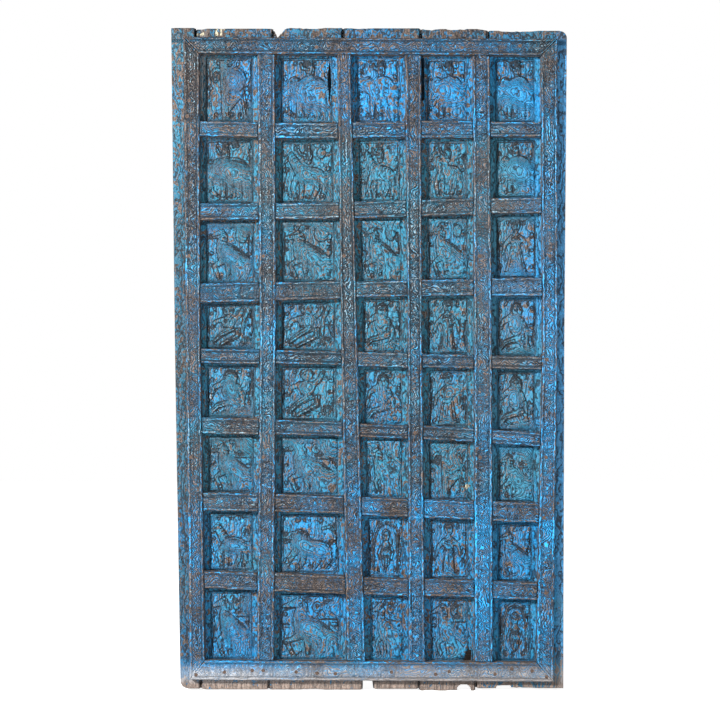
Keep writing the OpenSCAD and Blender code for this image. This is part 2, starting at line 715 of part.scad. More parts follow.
// Places of the nails in the upright i
function upright_nails(i) = concat(
    [for (n = crossing_nails) if (n[0] == i)
        let (z = crossing_z(i, n[1]) + n[2]) [at(post_x[i], z) + n[3], z]],
    [for (k = [1:ledges - 2]) let (z = ledge_z(k)) [at(post_x[i], z) + ledge_nail_side[k - 1][i], z]]
);
// Places of the nails in a full rail with the heights v and the width w
function rail_nails(v, w, list) = [for (n = list) let (
    i = min(max(floor(n[0]), 0), bays - 1),
    a = at(post_x[i], v[0]),
    b = at(post_x[i + 1], v[0]),
    x = a + (b - a) * (n[0] - i)
) [x, full_rail_z(v, x) + n[1] * w / 2]];
function all_frame_nails() = concat(
    [for (i = [0:bays]) each upright_nails(i)],
    rail_nails(bottom_rail_z, bottom_rail_w, bottom_nail_shares),
    rail_nails(top_rail_z, top_rail_w, top_nail_shares)
);
function ledge_nail(k, i) = [
    (at(seam_x[i], ledge_z(k)) + at(seam_x[i + 1], ledge_z(k))) / 2,
    ledge_z(k) + (i % 2 == 0 ? ledge_nail_step : -ledge_nail_step)
];
function in_plank(i, p) = p.x > at(seam_x[i], p.y) && p.x < at(seam_x[i + 1], p.y);
module nail_head(g) { rotate(22.5) circle(nail_head_w / 2 + g, $fn = 8); }
module nail_shank(g) { square(nail_side + 2 * g, center = true); }
// Nail driven from the front, its head flush with the batten
module frame_nail(p) {
    slab(front_y, nail_head_t) translate(p) nail_head(0);
    slab(front_y + nail_head_t, frame_t + plank_t - nail_head_t - nail_short) translate(p) nail_shank(0);
}
module frame_nail_hole(p) {
    slab(front_y - 1, nail_head_t + 1) translate(p) nail_head(nail_gap);
    slab(front_y, frame_t + 1) translate(p) nail_shank(nail_gap);
}
// Nail driven from the back, its head flush with the ledge and its tip short of the carving
module ledge_nail_body(p) {
    far = back_y + ledge_t;
    tip = face_y + strip_depth + nail_short;
    slab(far - nail_head_t, nail_head_t) translate(p) nail_head(0);
    slab(tip, far - nail_head_t - tip) translate(p) nail_shank(0);
}
module ledge_nail_hole(p) {
    far = back_y + ledge_t;
    slab(far - nail_head_t, nail_head_t + 1) translate(p) nail_head(nail_gap);
    slab(back_y - 1, ledge_t + 2) translate(p) nail_shank(nail_gap);
}
// Holes of both kinds in the plank i
module nail_holes(i) {
    for (p = all_frame_nails()) if (in_plank(i, p))
        slab(face_y - 1, plank_t + 1 - nail_short + nail_gap) translate(p) nail_shank(nail_gap);
    for (k = [0:ledges - 1]) slab(face_y + strip_depth + nail_short - nail_gap, plank_t)
        translate(ledge_nail(k, i)) nail_shank(nail_gap);
}
module frame_nails() {
    color(iron) for (p = all_frame_nails()) frame_nail(p);
}
module ledge_nails() {
    color(iron) for (k = [0:ledges - 1]) for (i = [0:planks - 1]) ledge_nail_body(ledge_nail(k, i));
}

for (i = [0:planks - 1]) plank(i);
upright(0);  // stile_left
upright(bays);  // stile_right
full_rail(top_rail_z, top_rail_w, -1, top_nail_shares);  // top_rail
full_rail(bottom_rail_z, bottom_rail_w, 1, bottom_nail_shares);  // bottom_rail
for (i = [1:bays - 1]) upright(i);
for (r = [1:rows - 1]) for (c = [1:bays])
    short_rail(r - 1, c - 1);
for (i = [1:ledges]) ledge(i - 1);
frame_nails();
ledge_nails();
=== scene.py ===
# Carved temple door leaf: the materials of every surface round the imported model.
import math
from collections import Counter

import bpy
import numpy as np
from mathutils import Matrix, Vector
from mathutils.geometry import tessellate_polygon


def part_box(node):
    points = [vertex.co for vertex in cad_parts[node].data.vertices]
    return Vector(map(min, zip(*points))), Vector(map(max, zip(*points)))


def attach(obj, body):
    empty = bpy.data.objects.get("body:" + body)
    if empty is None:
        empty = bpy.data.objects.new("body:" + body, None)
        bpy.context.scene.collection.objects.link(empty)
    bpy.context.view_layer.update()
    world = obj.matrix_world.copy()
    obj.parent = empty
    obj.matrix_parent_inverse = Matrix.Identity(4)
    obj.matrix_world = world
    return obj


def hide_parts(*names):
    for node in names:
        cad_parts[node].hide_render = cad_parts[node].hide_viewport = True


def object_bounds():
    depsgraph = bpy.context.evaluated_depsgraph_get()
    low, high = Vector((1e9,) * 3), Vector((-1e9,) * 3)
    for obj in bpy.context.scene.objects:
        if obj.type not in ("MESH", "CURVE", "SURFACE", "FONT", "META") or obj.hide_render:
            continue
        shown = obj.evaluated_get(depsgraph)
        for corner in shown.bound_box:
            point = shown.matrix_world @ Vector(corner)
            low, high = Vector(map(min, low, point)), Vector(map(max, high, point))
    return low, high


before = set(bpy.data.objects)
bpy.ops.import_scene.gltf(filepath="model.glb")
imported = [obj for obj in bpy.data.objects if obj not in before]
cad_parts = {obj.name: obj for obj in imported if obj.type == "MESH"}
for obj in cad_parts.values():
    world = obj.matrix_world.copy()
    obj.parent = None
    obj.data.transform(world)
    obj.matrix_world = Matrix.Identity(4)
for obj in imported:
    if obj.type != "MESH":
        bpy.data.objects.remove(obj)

MM = 0.001
CAD_BOX = [list(map(float, corner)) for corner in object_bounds()]

# The leaf's make-up
BAYS = 5
ROWS = 8
PLANKS = [f"plank_{i}" for i in range(1, BAYS + 2)]
UPRIGHTS = ["stile_left", "post_1", "post_2", "post_3", "post_4", "stile_right"]
LEDGES = [f"ledge_{i}" for i in range(1, 5)]
BODY = "root"

# Levels along Y, from the model
FRONT_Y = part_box("post_1")[0].y
FACE_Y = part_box("plank_3")[0].y
BACK_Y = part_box("plank_3")[1].y
MIDDLE_Z = (CAD_BOX[0][2] + CAD_BOX[1][2]) / 2

# The photograph's view: frontal, at the height of the leaf's middle
VIEW_X = -0.026
VIEW_Z = 0.948
VIEW_DISTANCE = 7.0
VIEW_WIDTH = 2.0556
SENSOR = 36.0


def add_object(name, data):
    """Links a new object to the scene"""
    thing = bpy.data.objects.new(name, data)
    bpy.context.scene.collection.objects.link(thing)
    return thing


camera = add_object("camera", bpy.data.cameras.new("camera"))
camera.data.sensor_width = SENSOR
camera.data.lens = SENSOR * VIEW_DISTANCE / VIEW_WIDTH
camera.location = (VIEW_X, FRONT_Y - VIEW_DISTANCE, VIEW_Z)
camera.rotation_euler = (math.radians(90), 0, 0)
bpy.context.scene.camera = camera

# Raster of the leaf's front, on which the carving is worked
CELL = 1.1 * MM
MARGIN = 4 * MM
LEFT = CAD_BOX[0][0] - MARGIN
FOOT = CAD_BOX[0][2] - MARGIN
COLUMNS = int((CAD_BOX[1][0] + MARGIN - LEFT) / CELL) + 1
LINES = int((CAD_BOX[1][2] + MARGIN - FOOT) / CELL) + 1
RASTER_X = LEFT + CELL * np.arange(COLUMNS)[None, :] + np.zeros((LINES, 1))
RASTER_Z = FOOT + CELL * np.arange(LINES)[:, None] + np.zeros((1, COLUMNS))


def smooth(low, high, value):
    """Smooth step from 0 to 1 between low and high"""
    t = np.clip((value - low) / (high - low), 0, 1)
    return t * t * (3 - 2 * t)


def mixed(a, b, c, d, u, v):
    """Value inside a square of four corners: a to b along u, and c to d above them"""
    return (a * (1 - u) + b * u) * (1 - v) + (c * (1 - u) + d * u) * v


# Places along each side of a noise table, after which it repeats
TABLE = 128


def noise(x, z, size, seed):
    """Smooth noise from -1 to 1, with waves about size long"""
    table = np.random.default_rng(seed).uniform(-1, 1, (TABLE, TABLE))
    u, v = x / size, z / size
    i, j = np.floor(u).astype(int), np.floor(v).astype(int)
    fu, fv = u - i, v - j
    fu, fv = fu * fu * (3 - 2 * fu), fv * fv * (3 - 2 * fv)
    i, j, i1, j1 = i % TABLE, j % TABLE, (i + 1) % TABLE, (j + 1) % TABLE
    return mixed(table[i, j], table[i1, j], table[i, j1], table[i1, j1], fu, fv)


def layered(x, z, size, seed, layers=3):
    """Noise of several sizes, each half as long and half as strong as the last"""
    total = sum(noise(x, z, size / 2 ** k, seed + k) / 2 ** k for k in range(layers))
    return total / (2 - 2 ** (1 - layers))


def blurred(a, radius):
    """Soft blur of a grid: two passes of a running mean over 2 * radius + 1 places"""
    for axis in (0, 1, 0, 1):
        pad = [(radius + 1, radius) if k == axis else (0, 0) for k in range(2)]
        total = np.cumsum(np.pad(a, pad, mode="edge"), axis=axis)
        size = a.shape[axis]
        high = np.take(total, np.arange(2 * radius + 1, 2 * radius + 1 + size), axis=axis)
        low = np.take(total, np.arange(0, size), axis=axis)
        a = (high - low) / (2 * radius + 1)
    return a


def sampled(grid, x, z):
    """Value of the raster at the places x, z"""
    u = np.clip((x - LEFT) / CELL, 0, COLUMNS - 1.001)
    v = np.clip((z - FOOT) / CELL, 0, LINES - 1.001)
    i, j = u.astype(int), v.astype(int)
    return mixed(grid[j, i], grid[j, i + 1], grid[j + 1, i], grid[j + 1, i + 1], u - i, v - j)


def highest(first, *others):
    """The greatest of several values at each place"""
    for other in others:
        first = np.maximum(first, other)
    return first


def corners(mesh):
    """Places of the mesh's vertices"""
    co = np.empty(len(mesh.vertices) * 3)
    mesh.vertices.foreach_get("co", co)
    return co.reshape(-1, 3)


def front_depth():
    """Depth of the planks' front behind its face, in mm, and where there is wood"""
    depth = np.full((LINES, COLUMNS), np.nan)
    for name in PLANKS:
        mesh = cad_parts[name].data
        mesh.calc_loop_triangles()
        index = np.empty(len(mesh.loop_triangles) * 3, dtype=np.int32)
        mesh.loop_triangles.foreach_get("vertices", index)
        p = corners(mesh)[index.reshape(-1, 3)]
        normal = np.cross(p[:, 1] - p[:, 0], p[:, 2] - p[:, 0])
        size = np.linalg.norm(normal, axis=1)
        facing = (normal[:, 1] < -0.9 * size) & (size > 0)
        for a, b, c in p[facing]:
            fill_triangle(depth, a, b, c)
    return depth


def fill_triangle(depth, a, b, c):
    """Writes the depth of a triangle's first corner where the triangle covers the raster"""
    low, high = np.min([a, b, c], axis=0)[::2], np.max([a, b, c], axis=0)[::2]
    i0, j0 = ((low - (LEFT, FOOT)) / CELL).astype(int)
    i1, j1 = ((high - (LEFT, FOOT)) / CELL).astype(int) + 2
    x, z = RASTER_X[j0:j1, i0:i1], RASTER_Z[j0:j1, i0:i1]
    area = (b[0] - a[0]) * (c[2] - a[2]) - (c[0] - a[0]) * (b[2] - a[2])
    s = ((b[0] - x) * (c[2] - z) - (c[0] - x) * (b[2] - z)) / area
    t = ((c[0] - x) * (a[2] - z) - (a[0] - x) * (c[2] - z)) / area
    slack = 0.002
    inside = (s >= -slack) & (t >= -slack) & (s + t <= 1 + slack)
    depth[j0:j1, i0:i1][inside] = (a[1] - FACE_Y) / MM


# Levels and places nearer than this count as the same
SAME = 1e-5


class Outline:
    """Two long edges of a board, seen from the front: low and high at the place t along it"""

    def __init__(self, name, level, along):
        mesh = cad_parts[name].data
        index = np.empty(len(mesh.edges) * 2, dtype=np.int32)
        mesh.edges.foreach_get("vertices", index)
        ends = corners(mesh)[index.reshape(-1, 2)]
        ends = ends[np.abs(ends[:, :, 1] - level).max(axis=1) < SAME]
        places, sides = ends[:, :, along], ends[:, :, 2 - along]
        self.start, self.end = places.min(), places.max()
        steep = np.abs(places[:, 1] - places[:, 0]) > 1e-7
        self.places, self.sides = places[steep].T, sides[steep].T

    def at(self, stations):
        """Low and high edge at each station"""
        (ta, tb), (wa, wb) = self.places, self.sides
        share = (np.asarray(stations)[:, None] - ta) / (tb - ta)
        place = wa + (wb - wa) * share
        off = (share < -1e-6) | (share > 1 + 1e-6)
        return np.where(off, np.inf, place).min(axis=1), np.where(off, -np.inf, place).max(axis=1)

    def span(self, t):
        """Low and high edge at one station"""
        return [float(edge[0]) for edge in self.at([t])]


def rail_name(row, bay):
    """Name of the rail under the row, where row -1 is the head"""
    full = {-1: "top_rail", ROWS - 1: "bottom_rail"}
    return full.get(row, f"short_rail_{row + 1}_{bay + 1}")


RAIL_NAMES = sorted({rail_name(r, c) for r in range(-1, ROWS) for c in range(BAYS)})
OUTLINES = {name: Outline(name, FRONT_Y, 2) for name in UPRIGHTS}
OUTLINES.update({name: Outline(name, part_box(name)[0].y, 0) for name in RAIL_NAMES})

# The carved block inside each opening, as in the model
PANEL_SIDE = 18 * MM
PANEL_TOP = 8 * MM
PANEL_FOOT = 4 * MM


def panel(row, bay):
    """Middle and half sizes of the carved block: x, z, half width, half height"""
    left, right = OUTLINES[UPRIGHTS[bay]], OUTLINES[UPRIGHTS[bay + 1]]
    x = (left.span(MIDDLE_Z)[1] + right.span(MIDDLE_Z)[0]) / 2
    top = OUTLINES[rail_name(row - 1, bay)].span(x)[0] - PANEL_TOP
    foot = OUTLINES[rail_name(row, bay)].span(x)[1] + PANEL_FOOT
    z = (top + foot) / 2
    low, high = left.span(z)[1] + PANEL_SIDE, right.span(z)[0] - PANEL_SIDE
    return (low + high) / 2, z, (high - low) / 2, (top - foot) / 2


def arc(cx, cz, rx, rz, start, end, steps=10):
    """Points along an oval arc, the angles in degrees"""
    angles = np.radians(np.linspace(start, end, steps))
    return list(zip(cx + rx * np.cos(angles), cz + rz * np.sin(angles)))


def curl(cx, cz, outer, inner, start, end, steps=14):
    """Points along a scroll"""
    radii = np.linspace(outer, inner, steps)
    return arc(cx, cz, radii, radii, start, end, steps)


def ring(cx, cz, r):
    """Points round a circle"""
    return arc(cx, cz, r, r, 0, 360, 12)


def dots(points, r=2.2):
    """Beads: each stroke is its points, its width and its height, which is negative for a cut"""
    return [([p, p], r, 1.0) for p in points]


def cuts(*lines, w=1.5, depth=-1.6):
    return [(line, w, depth) for line in lines]


def rolls(*lines, w=2.6, height=1.5):
    return [(line, w, height) for line in lines]


def ribs(cx, cz, rx, rz, turn, count):
    """Parallel cuts across an oval, for plumage and pleats"""
    out = []
    c, s = math.cos(math.radians(turn)), math.sin(math.radians(turn))
    for k in range(1, count + 1):
        h = rx * (2 * k / (count + 1) - 1)
        half = 0.85 * rz * math.sqrt(1 - (h / rx) ** 2)
        out.append([(cx + h * c - q * s, cz + h * s + q * c) for q in (-half, half)])
    return cuts(*out, w=1.2, depth=-1.8)


# The figures' finer lines, in a square of 100 by 100 about the middle of their panel

def rider_lines(x, z):
    return (rolls(arc(x, z + 15, 5, 5, 60, 300), arc(x + 1, z + 3, 6, 9, -60, 120), w=1.8)
            + cuts(ring(x - 2, z + 16, 1.8), [(x - 8, z - 4), (x + 8, z - 6)], w=1.3)
            + rolls([(x - 3, z + 2), (x - 15, z + 4), (x - 19, z + 11)], w=2.2))


def elephant_lines():
    hump = 22
    legs = [[(x, -12), (x + 1, -30), (x, -46)] for x in (-6, 12, 29)]
    toes = [[(x - 5, -42), (x + 5, -42)] for x in (-14, 2, 22, 36)]
    return (cuts(arc(-22, 6, 9, 13, -120, 110), ring(-30, 12, 2), *legs, *toes)
            + cuts(arc(10, hump - 8, 16, 16, 200, 340), arc(10, hump - 12, 16, 16, 200, 340))
            + rolls(arc(10, 0, 30, hump - 2, 20, 165), w=3)
            + cuts([(38, -8), (47, -16)], [(36, -14), (45, -22)])
            + dots([(10 + 14 * math.cos(t), -6 - 9 * math.sin(t)) for t in (0.5, 1.1, 1.6, 2.1, 2.6)]))


def horse_lines():
    mane = [[(-30 + 4 * k, 27 - 5 * k), (-22 + 4 * k, 31 - 5 * k)] for k in range(5)]
    return (cuts(ring(-37, 23, 1.8), [(-46, 14), (-40, 16)], *mane)
            + cuts(arc(6, -2, 14, 11, 210, 330), arc(6, -6, 14, 11, 210, 330))
            + rolls(arc(6, -4, 26, 10, 20, 160), w=2.5)
            + dots([(-12 + 7 * k, 2 - 2 * abs(k - 2)) for k in range(5)], 1.8)
            + cuts([(-26, -44), (-18, -44)], [(6, -44), (15, -44)], [(26, -44), (35, -44)]))


def lion_lines():
    mane = [curl(x, z, 4.5, 1.5, 0, 400, 9) for x, z in arc(-18, 8, 13, 12, 20, 335, 8)]
    return (cuts(*mane, ring(-24, 11, 1.8), [(-42, 6), (-34, 7)], w=1.3)
            + rolls(arc(8, -8, 26, 11, 20, 160), w=2.5)
            + cuts([(-44, -43), (-36, -45)], [(-22, -43), (-14, -45)], [(20, -43), (28, -45)])
            + rolls(curl(38, 28, 9, 2, -60, 330), w=2))


def bird_lines():
    beak = 28
    return (ribs(-13, 12, 18, 8, 80, 6) + ribs(24, -27, 20, 17, 40, 7)
            + cuts(ring(-15, beak + 6, 2.2), [(-42, beak - 2), (-20, beak + 2)])
            + cuts(arc(8, -12, 22, 16, 30, 150), arc(8, -17, 22, 16, 30, 150))
            + rolls([(-2, 14), (20, 4), (45, -14)], w=2.4)
            + cuts([(-24, -46), (-16, -40)], [(-5, -46), (1, -42)]))


def bird_rider_lines():
    return (cuts(ring(33, 30, 6), ring(33, 30, 11), ring(12, 33, 2.2), w=1.4)
            + rolls([(12, 18), (48, 18)], w=2)
            + rolls(curl(40, 40, 8, 2, 180, 520), w=1.8)
            + cuts([(14, 12), (46, 12)]))


def bust_lines(cz, turn):
    """Face, necklace and belt of an upright figure whose head is at the height cz"""
    return (cuts(ring(-4 + turn, cz + 3, 1.3), ring(3 + turn, cz + 3, 1.3), w=1)
            + cuts([(-3 + turn, cz - 5), (3 + turn, cz - 5)], w=1)
            + rolls(arc(turn, cz + 4, 11, 8, 10, 170), w=2.2)
            + cuts(arc(turn, cz - 12, 9, 6, 200, 340), arc(turn, cz - 15, 11, 7, 200, 340), w=1.1)
            + dots([(-6 + turn, cz - 22), (6 + turn, cz - 22)], 3)
            + cuts(*[[(-12 + turn, cz - low), (13 + turn, cz - low)] for low in (33, 36)]))


def dancer_lines():
    return (bust_lines(33, -4)
            + rolls([(6, -6), (-20, -21), (-35, -36)], [(14, -6), (15, -22), (-20, -43)], w=2.6)
            + cuts([(-26, -20), (-20, -26)], [(2, -28), (8, -36)], [(-34, -2), (-30, 2)])
            + cuts(ring(34, -34, 4), ring(34, -34, 8), w=1.3)
            + dots(arc(34, -34, 9, 8, 0, 300, 6), 1.8))


def seated_lines():
    return (bust_lines(27, 0) + dots(arc(0, 30, 14, 13, 0, 196, 8), 2)
            + rolls([(20, -20), (-28, -30), (-40, -40)], w=2.6)
            + cuts([(34, -36), (-16, -42)], [(-30, -24), (20, -12)])
            + cuts([(-36, 2), (-30, 6)], [(-42, -6), (-36, -3)], [(20, -2), (26, 2)]))


def standing_lines(disc, flare):
    pleats = [[(k * 3.2, -8), (k * flare / 4.2, -46)] for k in range(-3, 4, 3)]
    out = bust_lines(34, 0) + cuts(*pleats, w=1.0) + cuts([(-flare, -42), (flare, -42)])
    if disc:
        out += cuts(ring(0, 8, 4), ring(0, 8, 8.5), ring(0, 8, 13), w=1.4)
    return out


def arched_lines():
    arch = [(-38, -40), (-38, 8), (-20, 38), (4, 46), (28, 38), (40, 8), (40, -40)]
    beads = [(x * 0.86 + 1, z * 0.9) for x, z in arch]
    return (bust_lines(17, 2) + cuts(arch, w=1.4) + dots(beads, 2)
            + cuts([(-4, -14), (-2, -36)], [(8, -14), (6, -36)])
            + rolls([(-11, 2), (-20, -10), (-14, -22)], [(14, 2), (24, -8), (18, -22)], w=2.6))


def worn_lines():
    return (cuts(arc(16, 16, 16, 14, 20, 200), [(30, -8), (38, -40)], [(-2, 40), (0, -40)], w=1.4)
            + rolls(curl(-28, 20, 9, 2, 200, 520), w=2))


def feather_lines():
    return cuts(*zip(arc(14, 4, 4, 4, 30, 50, 2), arc(14, 4, 40, 40, 30, 50, 2)))


# The figure in each panel, row by row from the top left
KINDS = [
    ["worn"] + ["elephant"] * 4,
    ["elephant", "horse", "horse", "horse", "elephant"],
    ["bird"] * 4 + ["standing"],
    ["dancer", "dancer", "seated", "standing", "seated"],
    ["seated", "dancer", "seated", "standing", "seated"],
    ["rider_bird"] * 3 + ["worn", "rider_bird"],
    ["horse", "lion", "arched", "standing", "bird"],
    ["rider_bird"] * 4 + ["arched"],
]


def figure_lines(r, c):
    kind = KINDS[r][c]
    if kind == "elephant":
        return elephant_lines() + (rider_lines(8, 30) if r == 0 else rider_lines(2 if c else -8, 26))
    if kind == "horse":
        return horse_lines() + (rider_lines(2, 26) if r == 1 else [])
    if kind == "rider_bird":
        return bird_lines() + bird_rider_lines()
    if kind == "standing":
        feathers = feather_lines() if r == 4 else []
        return standing_lines(c == 3 and r in (3, 4), 30 if r == 2 else 22) + feathers
    simple = {"worn": worn_lines, "lion": lion_lines, "bird": bird_lines, "dancer": dancer_lines,
              "seated": seated_lines, "arched": arched_lines}
    return simple[kind]()


def foliage_lines(r, c):
    """Curls and leaves that fill the panel's edge round its figure"""
    rng = np.random.default_rng(500 + 10 * r + c)
    out = []
    for k in range(12):
        turn = 2 * math.pi * (k + rng.uniform(-0.3, 0.3)) / 12
        reach = 41 / max(abs(math.cos(turn)), abs(math.sin(turn)))
        x, z = reach * math.cos(turn), reach * math.sin(turn)
        size, start = rng.uniform(4.5, 7.5), rng.uniform(0, 360)
        if k % 3:
            out += cuts(curl(x, z, size, 1.5, start, start + rng.choice([-1, 1]) * 400, 10), w=1.2)
        else:
            leaf = arc(x, z, size, size * 0.6, start, start + 300, 7)
            out += cuts(leaf, [leaf[0], leaf[3]], w=1.2)
    return out


def crack_lines(r, c):
    """Dry cracks that run down beside a block, the widest in the middle rows"""
    rng = np.random.default_rng(900 + 10 * r + c)
    out = []
    for side in (-1, 1):
        width = rng.uniform(0.8, 2.2) * (1.3 if r in (3, 4, 5) else 0.8)
        z, end = 46 - rng.uniform(0, 40), -46 + rng.uniform(0, 40)
        x = side * rng.uniform(43, 49)
        points = [(x, z)]
        while z > end:
            z -= rng.uniform(5, 11)
            x = side * np.clip(side * x + rng.uniform(-3.4, 3.4), 39, 52)
            points.append((x, z))
        if len(points) > 1:
            out += cuts(points, w=width, depth=-3.6)
    return out


def border_lines(r, c):
    """Fillets down the sides of a block, and a line along its top"""
    side = 46 if (r + c) % 2 else 48
    return cuts([(-side, -48), (-side, 46)], [(side, -48), (side, 46)], [(-46, 47), (46, 47)],
                w=1.6, depth=-1.5)


# How unsteady the hand that cut the lines was, in mm
SHAKE = 1.6


def draw_lines(height, gap, r, c):
    """Works the finer lines of one panel into the height, and how far the nearest cut is, in mm"""
    x, z, half_w, half_h = panel(r, c)
    i0, i1 = (int((x + k * half_w - LEFT) / CELL) for k in (-1.08, 1.08))
    j0, j1 = (int((z + k * half_h - FOOT) / CELL) for k in (-1.05, 1.05))
    # Size of one part of the panel's 100, in mm
    ux, uz = half_w / 50 / MM, half_h / 50 / MM
    px, pz = (RASTER_X[j0:j1, i0:i1] - x) / MM, (RASTER_Z[j0:j1, i0:i1] - z) / MM
    px = px + SHAKE * noise(px, pz, 14, 60 + 7 * r + c)
    pz = pz + SHAKE * noise(px, pz, 14, 160 + 7 * r + c)
    part, part_gap = height[j0:j1, i0:i1], gap[j0:j1, i0:i1]
    strokes = figure_lines(r, c) + foliage_lines(r, c) + border_lines(r, c) + crack_lines(r, c)
    for points, width, depth in strokes:
        w = width * (ux + uz) / 2
        points = np.array(points) * (ux, uz)
        (low_x, low_z), (high_x, high_z) = points.min(axis=0) - 1.5 * w - 2, points.max(axis=0) + 1.5 * w + 2
        box = (px > low_x) & (px < high_x) & (pz > low_z) & (pz < high_z)
        near = np.full(px.shape, np.inf)
        for a, b in zip(points, points[1:]):
            near[box] = np.minimum(near[box], segment_distance(px[box], pz[box], a, b))
        part += depth * np.exp(-((near / w) ** 2) * 2)
        np.minimum(part_gap, near if depth < 0 else np.abs(near - w), out=part_gap)


def segment_distance(x, z, a, b):
    """How far places lie from the line from a to b"""
    dx, dz = b[0] - a[0], b[1] - a[1]
    length = dx * dx + dz * dz
    t = np.clip(((x - a[0]) * dx + (z - a[1]) * dz) / length, 0, 1) if length > 0 else 0
    return np.hypot(x - a[0] - t * dx, z - a[1] - t * dz)


# What lies deeper behind the planks' face than this, in mm, is a nail's hole or a split
DEEPEST = 13
# Depth of the ground round the figures and of the two splits, in mm, as in the model
BLOCK_GROUND = 5.0
SPLIT_DEPTH = 24.0
# The figures are worn flat: how much of their height is left
WORN_FLAT = 0.8
# Farther than this from a cut, in mm, its distance no longer matters
FAR = 6.0
# The worn front stays this much under the model's, in mm
UNDER_FACE = -0.05


def carved_front():
    """Height of the planks' worn front over their face, in mm, where there is wood, where it is carved,
    where a figure stands, and how far the nearest cut is, in mm"""
    depth = front_depth()
    wood = ~np.isnan(depth)
    split = wood & (np.abs(depth - SPLIT_DEPTH) < 0.5)
    depth = np.where(wood & (depth < DEEPEST), depth, 0)
    block = smooth(BLOCK_GROUND + 1.5, BLOCK_GROUND + 0.5, depth)
    level = 1 - np.clip(depth / BLOCK_GROUND, 0, 1)
    soft = blurred(level, 2)
    broad = blurred(level, 8)
    figure = WORN_FLAT * BLOCK_GROUND * (soft * (0.55 + 0.45 * smooth(0.3, 1.0, broad)) - 1)
    strips = -(depth.max() - WORN_FLAT * BLOCK_GROUND) * (1 - blurred(block, 1))
    lines = np.zeros_like(figure)
    # How far the nearest outline of a figure lies, then the nearest finer line
    gap = np.abs(0.45 - soft) * 7
    for r in range(ROWS):
        for c in range(BAYS):
            draw_lines(lines, gap, r, c)
    inside = smooth(0.05, 0.45, blurred((depth > 0.5) & (block > 0.5), 20)) * blurred(block, 1)
    # A cut runs round every figure, and worn foliage fills the ground between them
    cut = blurred(level, 1) * (1 - level)
    x, z = RASTER_X / MM, RASTER_Z / MM
    wx = x + 7 * noise(x, z, 22, 31)
    wz = z + 7 * noise(x, z, 22, 32)
    veins = smooth(0, 1, 1 - np.abs(noise(wx, wz, 10, 33)) * 3.0)
    veins = veins - smooth(0, 1, 1 - np.abs(noise(wz, wx, 8, 34)) * 4.0)
    chisel = layered(x, z * 0.6, 5, 35, 2) * 0.8
    worn = 0.8 + 0.45 * noise(x, z, 60, 36)
    carved = (lines * 1.3 + veins * (0.9 + 0.8 * (1 - soft)) + chisel) * worn - 4.2 * cut - 1.5
    height = figure + strips + inside * carved
    # Weathered grain that runs up the planks
    height += layered(x * 6, z * 0.35, 16, 41, 3) * 0.35
    height = np.where(split, -SPLIT_DEPTH, np.minimum(height, UNDER_FACE))
    gap = gap - 0.5 * noise(x, z, 24, 39)
    gap = np.clip(gap, 0, FAR) * inside + FAR * (1 - inside)
    # The block is cut free of its strips with an uneven line, drawn dark with dirt and painted shade
    rim = np.abs(0.5 - blurred(block, 2)) * 7 + 0.4 + 2.2 * smooth(-0.1, 0.4, noise(x, z, 45, 38))
    gap = np.where(blurred((depth > 0.5).astype(float), 3) > 0.02, np.minimum(gap, rim), gap)
    return height, wood, inside, soft * inside, gap


HEIGHT, WOOD, CARVED, FIGURE, GAP = carved_front()
# Dirt and painted shade in the hollows, and wear with a painted highlight on what stands out
CAVITY = smooth(0.2, 2.0, blurred(HEIGHT, 3) - HEIGHT)
RIDGE = smooth(0.2, 1.7, HEIGHT - blurred(HEIGHT, 3))
# The brush and the wear follow the forms: the same value runs round each of them
FORMS = blurred(HEIGHT, 6)
SOFT_WOOD = blurred(WOOD.astype(float), 1)


def spaced(start, end, fine, coarse, hidden):
    """Places from start to end: fine apart, and coarse apart inside the hidden spans"""
    out = [start]
    while out[-1] < end:
        here = out[-1]
        inside = any(a <= here <= b - coarse for a, b in hidden)
        out.append(min(here + (coarse if inside else fine), end))
    return np.array(out)


def drop_pinches(cell):
    """Drops a cell that touches another only at a corner"""
    for _ in range(3):
        a, b, c, d = cell[:-1, :-1], cell[1:, 1:], cell[:-1, 1:], cell[1:, :-1]
        b &= ~(a & b & ~c & ~d)
        d &= ~(c & d & ~a & ~b)


